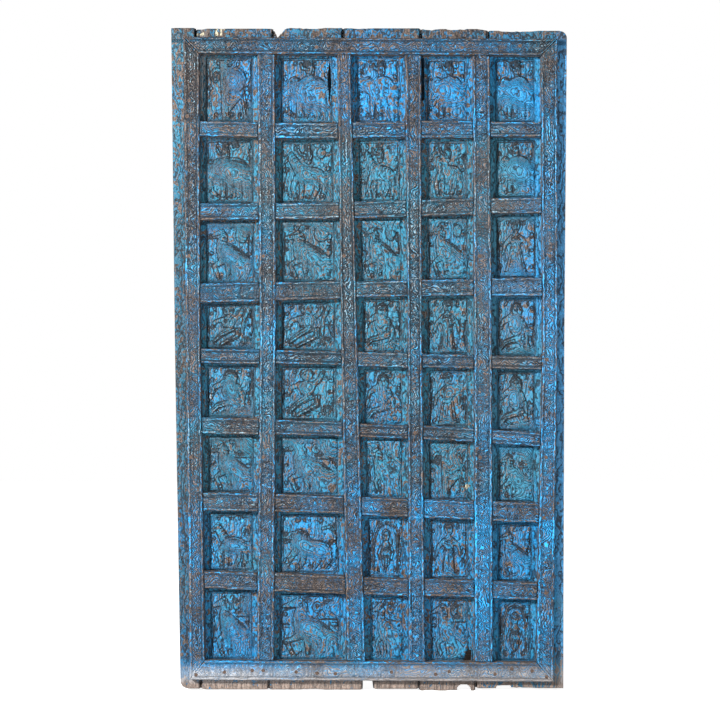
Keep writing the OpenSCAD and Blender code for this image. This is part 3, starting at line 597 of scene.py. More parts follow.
def closed_mesh(name, x, y, z, keep, back_y, taper=0.0):
    """Closed board: a grid of front faces where keep is true, walls round its edge and a flat back,
    narrower than the front by a share of its width"""
    rows, cols = x.shape
    index = np.arange(rows * cols).reshape(rows, cols)
    cell = keep[:-1, :-1] & keep[1:, :-1] & keep[:-1, 1:] & keep[1:, 1:]
    drop_pinches(cell)
    quads = np.stack([index[:-1, :-1], index[:-1, 1:], index[1:, 1:], index[1:, :-1]], axis=-1)[cell]
    points = np.stack([x, y, z], axis=-1).reshape(-1, 3)
    edges = np.concatenate([quads[:, [k, (k + 1) % 4]] for k in range(4)])
    key = np.sort(edges, axis=1)
    order = key[:, 0].astype(np.int64) * rows * cols + key[:, 1]
    _, first, count = np.unique(order, return_index=True, return_counts=True)
    rim = edges[first[count == 1]]
    follow = dict(rim.tolist())
    loops = []
    while follow:
        start = next(iter(follow))
        loop, here = [start], follow.pop(start)
        while here != start:
            loop.append(here)
            here = follow.pop(here)
        loops.append(loop)
    used, packed = np.unique(quads, return_inverse=True)
    fronts = points[used]
    place = {int(v): k for k, v in enumerate(used)}
    around = [v for loop in loops for v in loop]
    back = {v: len(used) + k for k, v in enumerate(around)}
    backs = points[around].copy()
    backs[:, 0] += taper * (backs[:, 0].mean() - backs[:, 0])
    backs[:, 1] = back_y
    faces = [tuple(q) for q in packed.reshape(-1, 4)]
    front_count = len(faces)
    for loop in loops:
        for a, b in zip(loop, loop[1:] + loop[:1]):
            faces.append((place[b], place[a], back[a], back[b]))
    filled = tessellate_polygon([[Vector((points[v][0], points[v][2], 0)) for v in loop] for loop in loops])
    base = len(used)
    # The filler lays two faces on one another now and then, where three points are in line
    times = Counter(tuple(sorted(three)) for three in filled)
    for a, b, c in (three for three in times if times[three] == 1):
        p, q, r = backs[a], backs[b], backs[c]
        turn = (q[0] - p[0]) * (r[2] - p[2]) - (r[0] - p[0]) * (q[2] - p[2])
        faces.append((base + a, base + b, base + c) if turn < 0 else (base + a, base + c, base + b))
    mesh = bpy.data.meshes.new(name)
    mesh.from_pydata(np.concatenate([fronts, backs]).tolist(), [], faces)
    mesh.polygons.foreach_set("use_smooth", np.arange(len(faces)) < front_count)
    return mesh, used, len(around)


def add_board(node, ending, material, places, values, keep, back_y, taper=0.0):
    """A closed board that stands in for a node of the model. Each point keeps for the material its wear and
    painted highlight, dirt and painted shade, coat and lost paint, then its hue and fading with some painted
    light, the line along which it wore, and how far the nearest cut is. What lies behind the front has fixed
    values."""
    mesh, used, extra = closed_mesh(node + ending, *places, keep, back_y, taper)
    ridge, cavity, bare, azure, wash_and_painted_light, flow, gap = values
    layers = {"wear_dirt_and_painted_light": ((ridge, cavity, 1.0, bare), (0.3, 0.2, 0.0, 0.5)),
              "tone": ((azure, wash_and_painted_light, flow, gap), (0.3, 0.1, 0.0, FAR))}
    for name, (parts, behind) in layers.items():
        front = np.stack([np.broadcast_to(a, keep.shape).reshape(-1)[used] for a in parts], axis=1)
        colours = np.concatenate([front, np.tile(behind, (extra, 1))])
        layer = mesh.color_attributes.new(name, "FLOAT_COLOR", "POINT")
        layer.data.foreach_set("color", colours.astype(np.float32).ravel())
    mesh.materials.append(material)
    piece = add_object(node + ending, mesh)
    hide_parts(node)
    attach(piece, BODY)


# Grid on the planks and battens: fine where they show, coarse where another board covers them
FINE = 2.55 * MM
COARSE = 14 * MM
HIDDEN_LAP = 4 * MM
HIDDEN_RIM = 3 * MM
EDGE = 2.0 * MM
JOINT_CLOSED = 0.45 * MM
# The planks' joints have opened at the back, by this share of a plank's width, and at the front of the
# heads and feet, to this depth in mm
BACK_TAPER = 0.012
JOINT_DEEP = 18.0
# Length of a head or foot that has worn away unevenly
WORN_END = 14 * MM
# Over this level the planks' heads show, under the other one their feet
HEADS = 1.862
FEET = 0.046


def head_share(z, over=6):
    """1 on the planks' heads, rising from 0 over some mm"""
    return smooth(HEADS, HEADS + over * MM, z)


def right_edge(x):
    """1 on the plank's edge beside the right stile, which painted light lifts out of the stile's shadow"""
    return smooth(0.53, 0.545, x)


def spot(x, z, middle_x, middle_z, reach_x, reach_z):
    """Soft spot that is 1 at its middle"""
    return np.exp(-((x - middle_x) / reach_x) ** 2 - ((z - middle_z) / reach_z) ** 2)


def spots(x, z, rows):
    """Sum of soft spots, each with its strength, its middle and its reach"""
    return sum(strength * spot(x, z, *where) for strength, *where in rows)


# Upper left corner, lower right corner, head of the right stile
BARE_SPOTS = [(0.20, -0.50, 1.72, 0.22, 0.35), (0.70, 0.56, 0.06, 0.045, 0.07),
              (0.25, 0.51, 1.79, 0.03, 0.09)]
# Middle of the first row, right side, one corner of a panel, and the duller rows
AZURE_SPOTS = [(0.75, 0.02, 1.75, 0.34, 0.14), (0.35, 0.52, 1.1, 0.12, 0.5),
               (0.80, -0.36, 1.733, 0.035, 0.045), (-0.15, 0.0, 1.35, 0.6, 0.2)]
# On the battens: head of the right stile, lower right quarter
BATTEN_AZURE_SPOTS = [(-0.3, 0.50, 1.75, 0.04, 0.25), (0.15, 0.45, 0.4, 0.35, 0.45)]
# First panel's left border and its head
CREAM_SPOTS = [(1.1, -0.471, 1.70, 0.006, 0.05), (0.9, -0.44, 1.83, 0.05, 0.004)]
# Two checks in the battens' wood
CHECKS = [(1.2, 0.302, 0.077, 0.010, 0.004), (1.2, -0.5256, 1.641, 0.004, 0.012)]


def bareness(x, z):
    """How far the paint is lost in each region, as the photograph shows: 0 painted, 1 bare"""
    out = spots(x, z, BARE_SPOTS) + 0.85 * smooth(0.05, 0.02, z)
    out = out + head_share(z, 8) * (0.24 + 0.25 * smooth(0.05, 0.25, x))
    return out + 0.08 * layered(x / MM, z / MM, 160, 71, 2)


def azure_share(x, z):
    """Where the paint is a clear azure: 0 is a dull teal, 1 is azure"""
    out = 0.30 + spots(x, z, AZURE_SPOTS) + 0.35 * smooth(0.75, 0.4, z) + 0.1 * head_share(z, 8)
    return out + 0.35 * layered(x / MM, z / MM, 120, 75, 2)


def faded_paint_and_painted_light(x, z):
    """Where the paint is washed out to a pale grey blue, and painted light on the plank's edge beside the
    right stile, in the stile's shadow
    """
    low = (0.42 + 0.45 * smooth(-0.1, -0.4, x)) * smooth(0.085, 0.05, z) * smooth(0.016, 0.03, z)
    return low + 0.12 * spot(x, z, 0.42, 1.1, 0.1, 0.5) + 0.24 * right_edge(x)


def cream(x, z):
    """Remnants of a cream paint at the head of a plank and on the first panel's border"""
    out = 1.2 * smooth(1.876, 1.880, z) * smooth(-0.50, -0.49, x) * smooth(-0.41, -0.42, x)
    out = out * smooth(0.0, 0.2, noise(x / MM, z / MM * 0.3, 5, 77)) + spots(x, z, CREAM_SPOTS)
    out = out * smooth(0.0, 0.35, noise(x / MM, z / MM, 11, 78))
    # A fresh chip
    return out + 1.6 * spot(x, z, 0.2795, 0.585, 0.005, 0.007)


def plank_grid(i):
    """Places x and z on the front of plank i, and its left and right edge at each level"""
    outline = Outline(PLANKS[i], BACK_Y, 2)
    bay = max(i - 1, 0)
    boxes = [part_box(rail_name(row, bay)) for row in range(-1, ROWS)]
    hidden = [(low.z + HIDDEN_LAP, high.z - HIDDEN_LAP) for low, high in boxes]
    z = spaced(outline.start, outline.end, FINE, COARSE, hidden if i else [])
    left, right = outline.at(np.clip(z, outline.start + SAME, outline.end - SAME))
    # The joints have swollen shut
    left = left - (JOINT_CLOSED if i else 0)
    right = right + (JOINT_CLOSED if i < BAYS else 0)
    width = float((right - left).max())
    # How much of the front the uprights cover
    level = np.clip(z, 0.1, 1.8)
    at_left = (OUTLINES[UPRIGHTS[bay]].at(level)[1] - left).min() if i else 0
    at_right = (right - OUTLINES[UPRIGHTS[i]].at(level)[0]).min() if i < BAYS else 0
    share = spaced(0, width, FINE, COARSE, [
        (HIDDEN_RIM, at_left - HIDDEN_LAP), (width - at_right + HIDDEN_LAP, width - HIDDEN_RIM)]) / width
    left, right = left[:, None], right[:, None]
    return left + (right - left) * share, np.repeat(z[:, None], len(share), axis=1), left, right


def make_plank(i, material):
    x, z, left, right = plank_grid(i)
    foot, head = z[0, 0], z[-1, 0]
    place = np.clip(x, left + EDGE, right - EDGE), np.clip(z, foot + EDGE, head - EDGE)
    height, wood, inside, figure, forms, ridge, cavity, gap = (
        sampled(grid, *place) for grid in (HEIGHT, SOFT_WOOD, CARVED, FIGURE, FORMS, RIDGE, CAVITY, GAP))
    edge = np.minimum(np.minimum(x - left, right - x), np.minimum(z - foot, head - z)) / MM
    wear = 3.0 + 1.5 * noise(x / MM, z / MM, 40, 90 + i)
    from_joint = np.minimum(x - left if i else np.inf, right - x if i < BAYS else np.inf) / MM
    joint = smooth(4.5, 1.0, from_joint + 1.2 * noise(x / MM, z / MM, 12, 50))
    joint = joint * (smooth(FEET, FEET - 6 * MM, z) + head_share(z))
    y = FACE_Y - (height - 0.6 * wear * smooth(wear, 0, edge) - JOINT_DEEP * joint) * MM
    lost = 3.2 * noise(x / MM, z * 0, 30, 60 + i) + 0.9 * noise(x / MM, z * 0, 9, 70 + i)
    lost = np.clip(lost, 0, 4) * MM
    z = z - lost * smooth(head - WORN_END, head, z) + 0.7 * lost * smooth(foot + WORN_END, foot, z)
    grain = x / MM * 0.3 + 9 * noise(x / MM, z / MM * 0.22, 26, 80 + i)
    grain = grain * (1 - 0.8 * smooth(HEADS - 4 * MM, HEADS + 6 * MM, z))
    flow = grain + inside * (4 * forms + x / MM * 0.2)
    bare = bareness(x, z) - 0.06 + 0.06 * figure
    azure = azure_share(x, z) + inside * (0.08 - 0.16 * figure)
    # Painted light: a clearer azure on the plank's edge beside the right stile, where the stile's shadow
    # falls
    azure = azure + 0.5 * right_edge(x) * smooth(0.2, 0.9, z)
    # Painted light on the strip beside the head of the left stile, in the stile's shadow
    wash_and_painted_light = 0.5 * faded_paint_and_painted_light(x, z) + 0.5 * spot(x, z, -0.477, 1.79, 0.008, 0.12) - cream(x, z)
    # Painted shade lies on the heads, on the feet at the right and in the joints
    right_feet = smooth(FEET - 1 * MM, FEET - 6 * MM, z) * smooth(0.02, 0.12, x)
    cavity = highest(cavity, 0.5 * head_share(z), 0.75 * right_feet, 2.2 * joint)
    # The left plank is more worn and darkened with painted shade; the right one keeps more of its paint,
    # which lightens it as painted light in the right stile's shadow
    if i == 0:
        bare = bare + 0.15 * smooth(1.6, 1.0, z)
        cavity = np.maximum(cavity, 0.30 + 0.35 * smooth(1.7, 1.2, z))
    if i == BAYS:
        bare = bare - 0.35 * (1 - inside)
    add_board(PLANKS[i], "_carved", material, (x, y, z),
              (ridge, cavity, bare, azure, wash_and_painted_light, flow, gap), wood > 0.5, BACK_Y, BACK_TAPER)


# No nail's head is wider than this
HEAD_WIDTH = 14 * MM


def nail_places():
    """Middle of each nail driven from the front: x, z"""
    co = corners(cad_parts["frame_nails"].data)
    groups = []
    for place in co[np.abs(co[:, 1] - FRONT_Y) < SAME][:, [0, 2]]:
        for group in groups:
            if math.dist(group[0], place) < HEAD_WIDTH:
                group.append(place)
                break
        else:
            groups.append([place])
    return [(np.min(group, axis=0) + np.max(group, axis=0)) / 2 for group in groups]


NAILS = nail_places()
# The batten is flat round a nail, in mm
NAIL_FLAT = 6.5
NAIL_REACH = 9
NAIL_LEVEL = -0.1

# Profile of a batten's front, in mm
ARRIS = 3.4
BEAD_AT = 7.0
BEAD_DEEP = 1.7
VINE_WAVE = 30
VINE_STEM = 2.4
VINE_DEEP = 2.6
# An outline is read at least this far from the batten's ends
END_INSET = 0.2 * MM
# Lowest and highest level of its worn front
BATTEN_LOW = -5.5
BATTEN_HIGH = -0.02


def vine_offset(t, side, w, seed):
    """How far a place lies beside the vine that winds along a batten, and the vine's phase"""
    wander = 20 * noise(t, side * 0.2, 55, seed + 8)
    phase = 2 * math.pi * (t + wander) / VINE_WAVE + seed
    swing = np.clip(w / 2 - BEAD_AT - 5, 2, None) * (0.8 + 0.6 * noise(t, side * 0, 45, seed + 9))
    return side - swing * np.sin(phase), phase


def batten_height(t, v, w, length, seed):
    """Height of a batten's worn front over its highest level, in mm, how far a place lies beside the
    vine, how far from a cut, and how much painted highlight the vine's crest gets. t runs along the batten
    and v across."""
    d = np.minimum(v, w - v)
    e = np.minimum(t, length - t)
    radius = ARRIS * (1 + 0.45 * noise(t, v * 0.3 + 50, 34, seed) + 0.3 * noise(t, v * 0.3, 9, seed + 1))
    lack = np.clip(radius - d, 0, None)
    arris = -(radius - np.sqrt(np.clip(radius ** 2 - lack ** 2, 0, None)))
    ends = -1.2 * smooth(3.0, 0, e)
    groove = -BEAD_DEEP * np.exp(-((d - BEAD_AT) / 1.5) ** 2)
    worn = 0.35 + 0.65 * smooth(-0.5, 0.4, noise(t, v, 130, seed + 2))
    side = v - w / 2
    warped = side + 5.0 * noise(t, v, 15, seed + 10)
    offset, phase = vine_offset(t + 9.0 * noise(t, v, 19, seed + 14), warped, w, seed)
    stem = np.exp(-(offset / VINE_STEM) ** 2)
    # A leaf fills each bow of the vine
    apart = np.abs(offset)
    leaf = smooth(0.1, 0.9, np.abs(np.sin(phase)) * smooth(3.5, 6.5, apart) * smooth(12, 8, apart))
    field = smooth(BEAD_AT + 1, BEAD_AT + 2.5, d)
    vine = field * VINE_DEEP * (np.clip(stem + 0.8 * leaf, 0, 1) - 1) * worn
    flow = offset * field + (1 - field) * (v + 40)
    # Cuts run beside the stem, round the leaves, and along the bead
    lobes = np.abs(apart - 7.5 - 2.2 * np.sin(2 * phase + 0.3 * side)) + 0.5
    fading = noise(t, v, 22, seed + 11)
    faint = 1.1 * smooth(-0.3, 0.5, fading) + FAR * smooth(0.55, 0.35, worn)
    gap = 1.5 * np.minimum(np.abs(apart - 2.6), lobes) + FAR * (1 - field) + faint - 0.3
    gap = np.clip(np.minimum(gap, np.abs(d - BEAD_AT) + 0.6 + 1.5 * smooth(0.8, 0.4, worn)), 0, FAR)
    crack = -2.6 * smooth(0.62, 0.9, noise(v, t * 0.016, 2.6, seed + 3))
    crack = crack * smooth(0.1, 0.5, noise(t, v, 90, seed + 4))
    grain = 0.4 * layered(v * 4.5, t * 0.3, 14, seed + 5)
    dent = -1.5 * smooth(0.45, 0.9, noise(t, v, 15, seed + 6)) * smooth(0.0, 0.6, noise(t, v, 80, seed + 7))
    # Paint and a painted highlight lie along one side of the stem
    crest = np.exp(-((offset - 1.0) / 1.7) ** 2) * smooth(0.6, 0.1, fading)
    crest = field * worn * np.maximum(crest, 0.8 * np.exp(-((lobes - 3.2) / 1.2) ** 2))
    return arris + ends + groove * worn + vine + crack + grain + dent, flow, gap, crest


def make_batten(name, along, low_by, seed, material):
    """Batten that runs along X (0) or Z (2), its front low_by mm under the model's"""
    outline = OUTLINES[name]
    low_box, high_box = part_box(name)
    start, end = outline.start, outline.end
    t = np.linspace(start, end, int((end - start) / FINE))
    low, high = (side[:, None] for side in outline.at(np.clip(t, start + END_INSET, end - END_INSET)))
    share = np.linspace(0, 1, int((high - low).max() / FINE))
    across, place = low + (high - low) * share, np.repeat(t[:, None], len(share), axis=1)
    from_low, from_high = (across - low) / MM, (high - across) / MM
    height, flow, gap, crest = batten_height(
        (place - start) / MM, from_low, (high - low) / MM + 0 * share, (end - start) / MM, seed)
    height -= low_by
    x, z = (across, place) if along == 2 else (place, across)
    for nail_x, nail_z in NAILS:
        near = np.hypot(x - nail_x, z - nail_z) / MM
        height += (NAIL_LEVEL - height) * smooth(NAIL_REACH, NAIL_FLAT, near)
    height = np.clip(height, BATTEN_LOW, BATTEN_HIGH)
    y = low_box.y - height * MM
    edge = np.minimum(from_low, from_high)
    # Wear and a painted highlight on what stands out; dirt and painted shade in the hollows, and painted
    # shade along the batten's edges where it meets its neighbours
    ridge = smooth(0.05, 1.2, height - blurred(height, 2)) * smooth(2, 6, edge)
    cavity = np.maximum(smooth(0.05, 1.3, blurred(height, 2) - height), 0.7 * smooth(1.8, 0.8, edge))
    # Painted highlight and kept azure paint lie on the arrises in places, most on the one in the shade
    lit, shaded = (from_low, from_high) if along == 2 else (from_high, from_low)
    lit = 0.5 * smooth(5, 2.5, lit) * smooth(0.1, 0.6, noise(place / MM, 0 * x, 60, seed + 12))
    shaded = 0.9 * smooth(6.5, 2.5, shaded) * smooth(-0.1, 0.4, noise(place / MM, 0 * x, 70, seed + 13))
    ridge = highest(ridge, crest, lit, shaded)
    cavity = highest(cavity, batten_shade(name, x, z), spots(x, z, CHECKS))
    if name == "bottom_rail":
        gap = gap + 1.6 * smooth(0.2, -0.3, x)
    # Painted shade at the short rails' ends, beside the posts
    if name.startswith("short_rail"):
        cavity = np.maximum(cavity, smooth(3.5, 1.5, np.minimum(place - start, end - place) / MM))
    bare = bareness(x, z) + batten_bareness(name, x, z) + 0.32 * layered(x / MM, z / MM, 75, 72, 2)
    azure = azure_share(x, z) + 0.18 + spots(x, z, BATTEN_AZURE_SPOTS) + 0.8 * (shaded + lit)
    values = [x, y, z, ridge, cavity, bare, azure, faded_paint_and_painted_light(x, z), flow, gap]
    if along == 0:
        values = [a.T for a in values]
    everywhere = np.ones(values[0].shape, dtype=bool)
    add_board(name, "_worn", material, values[:3], values[3:], everywhere, high_box.y)


def batten_shade(name, x, z):
    """Some battens are darker than others"""
    if name == "top_rail":
        return 0.45
    if name == "stile_left":
        return 0.42 * smooth(1.3, 1.1, z)
    if name.startswith("short_rail"):
        return 0.40 * smooth(1.35, 1.2, z) * smooth(0.7, 0.8, z) * smooth(0.1, 0.0, x)
    return 0.0


def batten_bareness(name, x, z):
    """More of the paint is rubbed off the battens than off the carving"""
    kept = 0.22 * spot(x, z, 0.45, 0.4, 0.3, 0.45)
    if name == "bottom_rail":
        return 0.24 - 0.1 * smooth(0.0, -0.3, x)
    if name == "top_rail":
        return 0.06 + 0.12 * spot(x, z, -0.05, 1.85, 0.2, 0.1)
    if name.startswith("short_rail"):
        upper_left = smooth(-0.05, -0.25, x) * smooth(1.1, 1.4, z)
        return 0.08 + 0.06 * smooth(1.3, 0.7, z) - 0.12 * upper_left - 0.5 * kept
    worn = 0.10 * smooth(1.3, 1.1, z) if name == "stile_left" else 0
    return 0.07 + worn - 0.12 * spot(x, z, 0.45, 1.1, 0.2, 0.5) - kept


def linear(red, green, blue):
    """Scene colour of a display colour from 0 to 255"""
    values = [v / 255 for v in (red, green, blue)]
    return tuple(v / 12.92 if v <= 0.04045 else ((v + 0.055) / 1.055) ** 2.4 for v in values) + (1.0,)


class Graph:
    """Builds the nodes of a material or a world"""

    def __init__(self, owner):
        self.owner = owner
        owner.use_nodes = True
        self.tree = owner.node_tree
        self.tree.nodes.clear()

    def node(self, kind, inputs, **settings):
        node = self.tree.nodes.new("ShaderNode" + kind)
        for key, value in settings.items():
            setattr(node, key, value)
        for key, value in inputs.items():
            if isinstance(value, bpy.types.NodeSocket):
                self.tree.links.new(value, node.inputs[key])
            else:
                node.inputs[key].default_value = value
        return node

    def math(self, operation, a, b=0.0, c=0.0):
        return self.node("Math", {0: a, 1: b, 2: c}, operation=operation).outputs[0]

    def times(self, a, b):
        return self.math("MULTIPLY", a, b)

    def total(self, base, *terms):
        """base plus each socket times its weight"""
        out = base
        for socket, weight in terms:
            out = self.math("MULTIPLY_ADD", socket, weight, out)
        return out

    def step(self, value, low, high):
        inputs = {"Value": value, "From Min": low, "From Max": high}
        return self.node("MapRange", inputs, interpolation_type="SMOOTHSTEP").outputs["Result"]

    def blend(self, factor, a, b):
        return self.node("Mix", {0: factor, 6: a, 7: b}, data_type="RGBA").outputs[2]

    def kept(self, name):
        """The four values that the points keep in a layer"""
        layer = self.node("Attribute", {}, attribute_name=name).outputs
        return *self.node("SeparateColor", {"Color": layer["Color"]}).outputs[:3], layer["Alpha"]

    def place(self):
        return self.node("TexCoord", {}).outputs["Object"]

    def noise(self, vector, scale, detail=3.0, rough=0.55):
        inputs = {"Vector": vector, "Scale": scale, "Detail": detail, "Roughness": rough}
        return self.node("TexNoise", inputs).outputs["Fac"]

    def stretched(self, vector, across, along, axis):
        """Scales a vector along one axis, and otherwise across it"""
        sizes = [along if k == axis else across for k in range(3)]
        return self.node("Mapping", {"Vector": vector, "Scale": sizes}).outputs["Vector"]

    def shown(self, kind, plain, seen):
        """Ends a floor or world that has another look for the camera, straight or by a mirror or glass"""
        path = self.node("LightPath", {}).outputs
        straight = self.math("MAXIMUM", path["Is Camera Ray"], path["Is Glossy Ray"])
        share = self.math("MAXIMUM", straight, path["Is Transmission Ray"])
        mix = self.node("MixShader", {0: share, 1: plain, 2: seen}).outputs[0]
        self.node("Output" + kind, {"Surface": mix})

    def surface(self, colour, rough, relief, strength, distance, more=None):
        """Ends a material: colour, roughness and a relief with its strength and its height in metres"""
        bump = self.node("Bump", {"Height": relief, "Strength": strength, "Distance": distance})
        inputs = {"Base Color": colour, "Roughness": rough, "Normal": bump.outputs["Normal"], **(more or {})}
        self.node("OutputMaterial", {"Surface": self.node("BsdfPrincipled", inputs).outputs["BSDF"]})
        return self.owner


# Colours of the weathered paint and wood, and of painted shade and highlight, as display colours
PAINT_SHADED = linear(12, 54, 78)
PAINT_TEAL = linear(40, 120, 148)
PAINT_AZURE = linear(6, 126, 184)
BRIGHT_AZURE_AND_HIGHLIGHT = linear(34, 170, 240)
LIGHT_TEAL_AND_HIGHLIGHT = linear(76, 158, 196)
PALE_PAINT_AND_HIGHLIGHT = linear(146, 188, 208)
FADED_PAINT_AND_LIGHT = linear(172, 174, 178)
CREAM = linear(190, 182, 156)
WOOD_DARK = linear(50, 42, 38)
WOOD_BROWN = linear(106, 96, 90)
WOOD_PALE = linear(158, 141, 130)
RUST = linear(142, 98, 74)
DIRT_AND_SHADE = linear(9, 13, 18)
IRON_DARK = linear(44, 34, 30)
IRON_RUSTED = linear(104, 84, 72)
FLOOR = linear(236, 236, 236)
WHITE = linear(255, 255, 255)


def painted_wood(name, grain_axis, contrast):
    """Blue paint worn off old wood whose grain runs along an axis: 0 is X, 2 is Z. contrast is how much
    darker its lines, with their painted shade, and how much paler its crests, with their painted highlight,
    are than the carved planks'."""
    g = Graph(bpy.data.materials.new(name))
    place = g.place()
    ridge, cavity, coat, bare = g.kept("wear_dirt_and_painted_light")
    azure, wash_and_painted_light, flow, gap = g.kept("tone")

    def stretched_noise(across, along, detail, rough):
        return g.noise(g.stretched(place, across, along, grain_axis), 1.0, detail, rough)

    xyz = g.node("SeparateXYZ", {"Vector": place}).outputs
    level = xyz[2]
    grain = stretched_noise(300.0, 16.0, 4.0, 0.6)
    patch = g.noise(place, 11.0, 3.0)
    # Streaks and thin lines of wear that run along the carved forms
    run = g.node("CombineXYZ", {0: g.times(flow, 0.20), 1: g.times(xyz[grain_axis], 62.0),
                                2: g.times(patch, 6.0)}).outputs["Vector"]
    streak = g.noise(run, 1.0, 3.0, 0.6)
    fleck = stretched_noise(190.0, 120.0, 2.0, 0.6)
    speck = g.noise(place, 300.0, 1.0, 0.5)
    swirl = stretched_noise(60.0, 36.0, 2.0, 0.5)
    line = g.math("SINE", g.total(0.0, (flow, 0.85), (swirl, 17.0)))
    winding = g.math("ABSOLUTE", g.total(-0.5, (stretched_noise(80.0, 50.0, 1.5, 0.5), 1.0)))
    crevice = g.step(winding, 0.03, 0.008)
    cut = g.step(g.total(0.0, (gap, 1.0), (fleck, 2.4)), 3.3, 2.1)

    # Where the paint is lost, and where it never was: on the sides and the back
    raw = g.math("SUBTRACT", 1.0, coat)
    lost = g.total(-2.05, (bare, 1.0), (ridge, 0.15), (cavity, -0.20), (patch, 0.6), (streak, 2.0),
                   (fleck, 0.5), (grain, 0.7), (line, 0.32), (raw, 2.0))
    mask = g.step(lost, -0.05, 0.12)

    # Paint: teal or azure, lighter in streaks and flecks and with a painted highlight on what stands out,
    # and painted shade in the hollows
    clear = g.step(g.total(-1.1, (azure, 1.0), (patch, 0.8), (streak, 0.8)), -0.1, 0.6)
    paint = g.blend(clear, PAINT_TEAL, PAINT_AZURE)
    light_paint_and_highlight = g.blend(clear, LIGHT_TEAL_AND_HIGHLIGHT, BRIGHT_AZURE_AND_HIGHLIGHT)
    bright = g.total(-1.47 + 0.4 * contrast, (azure, 0.30), (streak, 0.9), (fleck, 1.0), (line, 0.30),
                     (ridge, 0.85))
    paint = g.blend(g.step(bright, 0.0, 0.20), paint, light_paint_and_highlight)
    paint = g.blend(g.times(cavity, 0.7), paint, PAINT_SHADED)

    # Wood: paler at the door's foot and on its sides and back
    foot = g.step(level, 0.10, 0.07)
    dark_wood = g.blend(g.times(foot, 0.6), WOOD_DARK, WOOD_BROWN)
    wood = g.blend(g.step(g.total(0.0, (grain, 0.6), (speck, 0.4)), 0.40, 0.60), dark_wood, WOOD_BROWN)
    pale_back = g.times(raw, g.step(g.total(0.0, (patch, 0.6), (grain, 0.6)), 0.45, 0.8))
    wood = g.blend(pale_back, wood, WOOD_PALE)
    low = g.step(g.total(-0.35, (level, -9.0), (grain, 0.9), (ridge, 0.3)), -0.45, 0.25)
    wood = g.blend(g.times(low, g.step(grain, 0.25, 0.62)), wood, WOOD_PALE)
    wood = g.blend(g.times(g.step(speck, 0.60, 0.68), 0.4), wood, RUST)

    # Both together, washed out in places, with remnants of cream, and pale paint with a painted highlight on
    # the crests
    colour = g.blend(mask, paint, wood)
    faint = g.times(wash_and_painted_light, g.step(g.total(0.0, (fleck, 0.5), (streak, 0.5)), 0.25, 0.5))
    colour = g.blend(faint, colour, FADED_PAINT_AND_LIGHT)
    colour = g.blend(g.step(g.total(0.0, (wash_and_painted_light, -1.0), (fleck, 1.6)), 1.25, 1.55), colour, CREAM)
    pale = g.total(-1.42 + 0.4 * contrast, (ridge, 0.42), (azure, -0.35), (streak, 0.9), (fleck, 0.9),
                   (speck, 0.6))
    colour = g.blend(g.times(g.step(pale, 0.0, 0.3), 0.75), colour, PALE_PAINT_AND_HIGHLIGHT)

    # Dirt and painted shade lie in the hollows, lines, cuts and crevices; there is less of both at the
    # door's foot and on the sides and back.
    dark_line = g.step(line, -0.35 + contrast, -0.9 + contrast)
    dirt_and_painted_shade = g.total(0.0, (g.step(cavity, 0.3, 1.0), 0.6), (dark_line, 0.8 + 0.4 * contrast), (cut, 0.95),
                    (g.step(fleck, 0.40, 0.30), 0.3), (crevice, 0.5))
    dirt_and_painted_shade = g.times(g.math("MINIMUM", dirt_and_painted_shade, 0.94), g.total(1.0, (foot, -0.55), (raw, -0.4)))
    colour = g.blend(dirt_and_painted_shade, colour, DIRT_AND_SHADE)
    relief = g.total(0.0, (grain, 0.4), (fleck, 0.6), (line, 0.35 + 0.6 * contrast), (mask, -0.2),
                     (streak, 1.0), (crevice, -0.4), (cut, -0.8))
    rough = g.total(0.5, (mask, 0.25), (fleck, 0.1))
    return g.surface(colour, rough, relief, 0.9, 0.0020, {"Specular IOR Level": 0.35})


def bare_wood(name, grain_axis):
    """Old unpainted wood, grey and dry"""
    g = Graph(bpy.data.materials.new(name))
    place = g.place()
    grain = g.noise(g.stretched(place, 380.0, 9.0, grain_axis), 1.0, 4.0, 0.6)
    patch = g.noise(place, 11.0, 3.0)
    wood = g.blend(g.step(grain, 0.35, 0.68), WOOD_DARK, WOOD_BROWN)
    wood = g.blend(g.step(g.total(-0.35, (patch, 0.9), (grain, 0.4)), 0.1, 0.6), wood, WOOD_PALE)
    relief = g.total(0.0, (grain, 1.0), (g.noise(place, 300.0), 0.3))
    return g.surface(wood, g.total(0.7, (patch, 0.2)), relief, 0.6, 0.0015)


def rusted_iron(name):
    g = Graph(bpy.data.materials.new(name))
    blot = g.noise(g.place(), 260.0, 4.0, 0.65)
    colour = g.blend(g.step(blot, 0.35, 0.65), IRON_DARK, IRON_RUSTED)
    return g.surface(colour, g.total(0.55, (blot, 0.4)), blot, 0.6, 0.0008, {"Metallic": 0.35})


def set_material(names, material):
    for name in names:
        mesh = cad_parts[name].data
        mesh.materials.clear()
        mesh.materials.append(material)


# Strength of the world's light, and of the floor's own to the camera
AMBIENT = 0.36
FLOOR_GLOW = 0.78
FLOOR_SIZE = 12.0


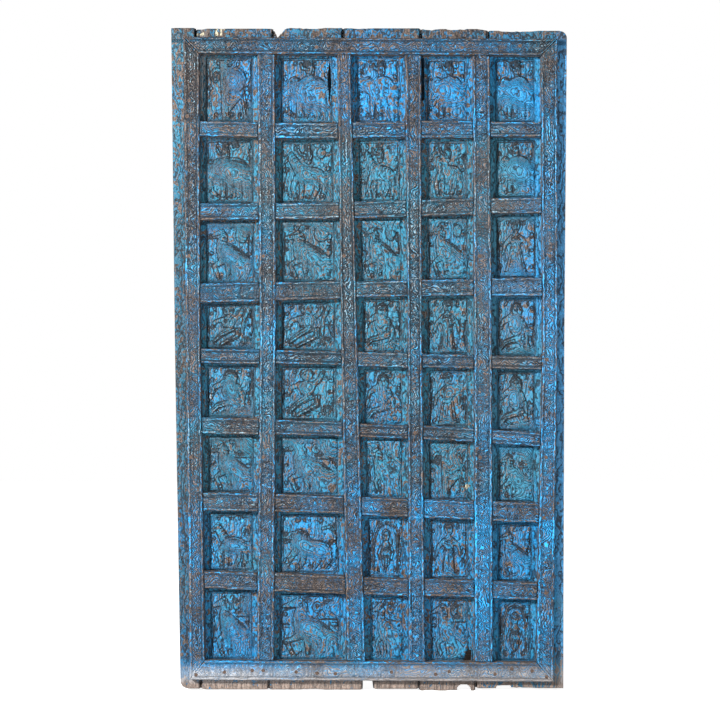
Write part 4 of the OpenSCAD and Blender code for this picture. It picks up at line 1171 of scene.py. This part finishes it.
def make_stage():
    """Pale floor that shows white to the camera and keeps the leaf's shadow, and a white world"""
    g = Graph(bpy.data.materials.new("pale_floor"))
    matt = g.node("BsdfDiffuse", {"Color": FLOOR}).outputs[0]
    glow = g.node("Emission", {"Color": WHITE, "Strength": FLOOR_GLOW}).outputs[0]
    lit = g.node("AddShader", {0: matt, 1: glow}).outputs[0]
    g.shown("Material", matt, lit)
    mesh = bpy.data.meshes.new("floor")
    signs = ((-1, -1), (1, -1), (1, 1), (-1, 1))
    mesh.from_pydata([(a * FLOOR_SIZE, b * FLOOR_SIZE, CAD_BOX[0][2]) for a, b in signs], [], [(0, 1, 2, 3)])
    mesh.materials.append(g.owner)
    add_object("floor", mesh)

    g = Graph(bpy.data.worlds.new("world"))
    bpy.context.scene.world = g.owner
    soft = g.node("Background", {"Color": WHITE, "Strength": AMBIENT}).outputs[0]
    white = g.node("Background", {"Color": WHITE}).outputs[0]
    g.shown("World", soft, white)


def make_lamp(name, place, size, power):
    data = bpy.data.lights.new(name, "AREA")
    data.shape = "DISK"
    data.size = size
    data.energy = power
    lamp = add_object(name, data)
    lamp.location = place
    middle = Vector((0, FRONT_Y, MIDDLE_Z))
    lamp.rotation_euler = (middle - Vector(place)).to_track_quat("-Z", "Y").to_euler()


# A key light from the left front, a little from above, and a weak fill from the right
make_lamp("key", (-3.6, -4.6, 2.6), 0.8, 720)
make_lamp("fill", (3.0, -5.5, 1.6), 3.0, 70)
make_stage()

BATTEN_CONTRAST = 0.25
carved_wood = painted_wood("painted_wood_carved", 2, 0.0)
upright_wood = painted_wood("painted_wood_upright", 2, BATTEN_CONTRAST)
level_wood = painted_wood("painted_wood_level", 0, BATTEN_CONTRAST)
for index in range(len(PLANKS)):
    make_plank(index, carved_wood)
for index, name in enumerate(UPRIGHTS):
    make_batten(name, 2, 0.0, 200 + 11 * index, upright_wood)
for index, name in enumerate(RAIL_NAMES):
    low_by = 0.0 if name in ("top_rail", "bottom_rail") else 0.3
    make_batten(name, 0, low_by, 400 + 11 * index, level_wood)
set_material(LEDGES, bare_wood("bare_wood", 0))
set_material(["frame_nails", "ledge_nails"], rusted_iron("rusted_iron"))

bpy.context.scene.view_settings.view_transform = "Standard"
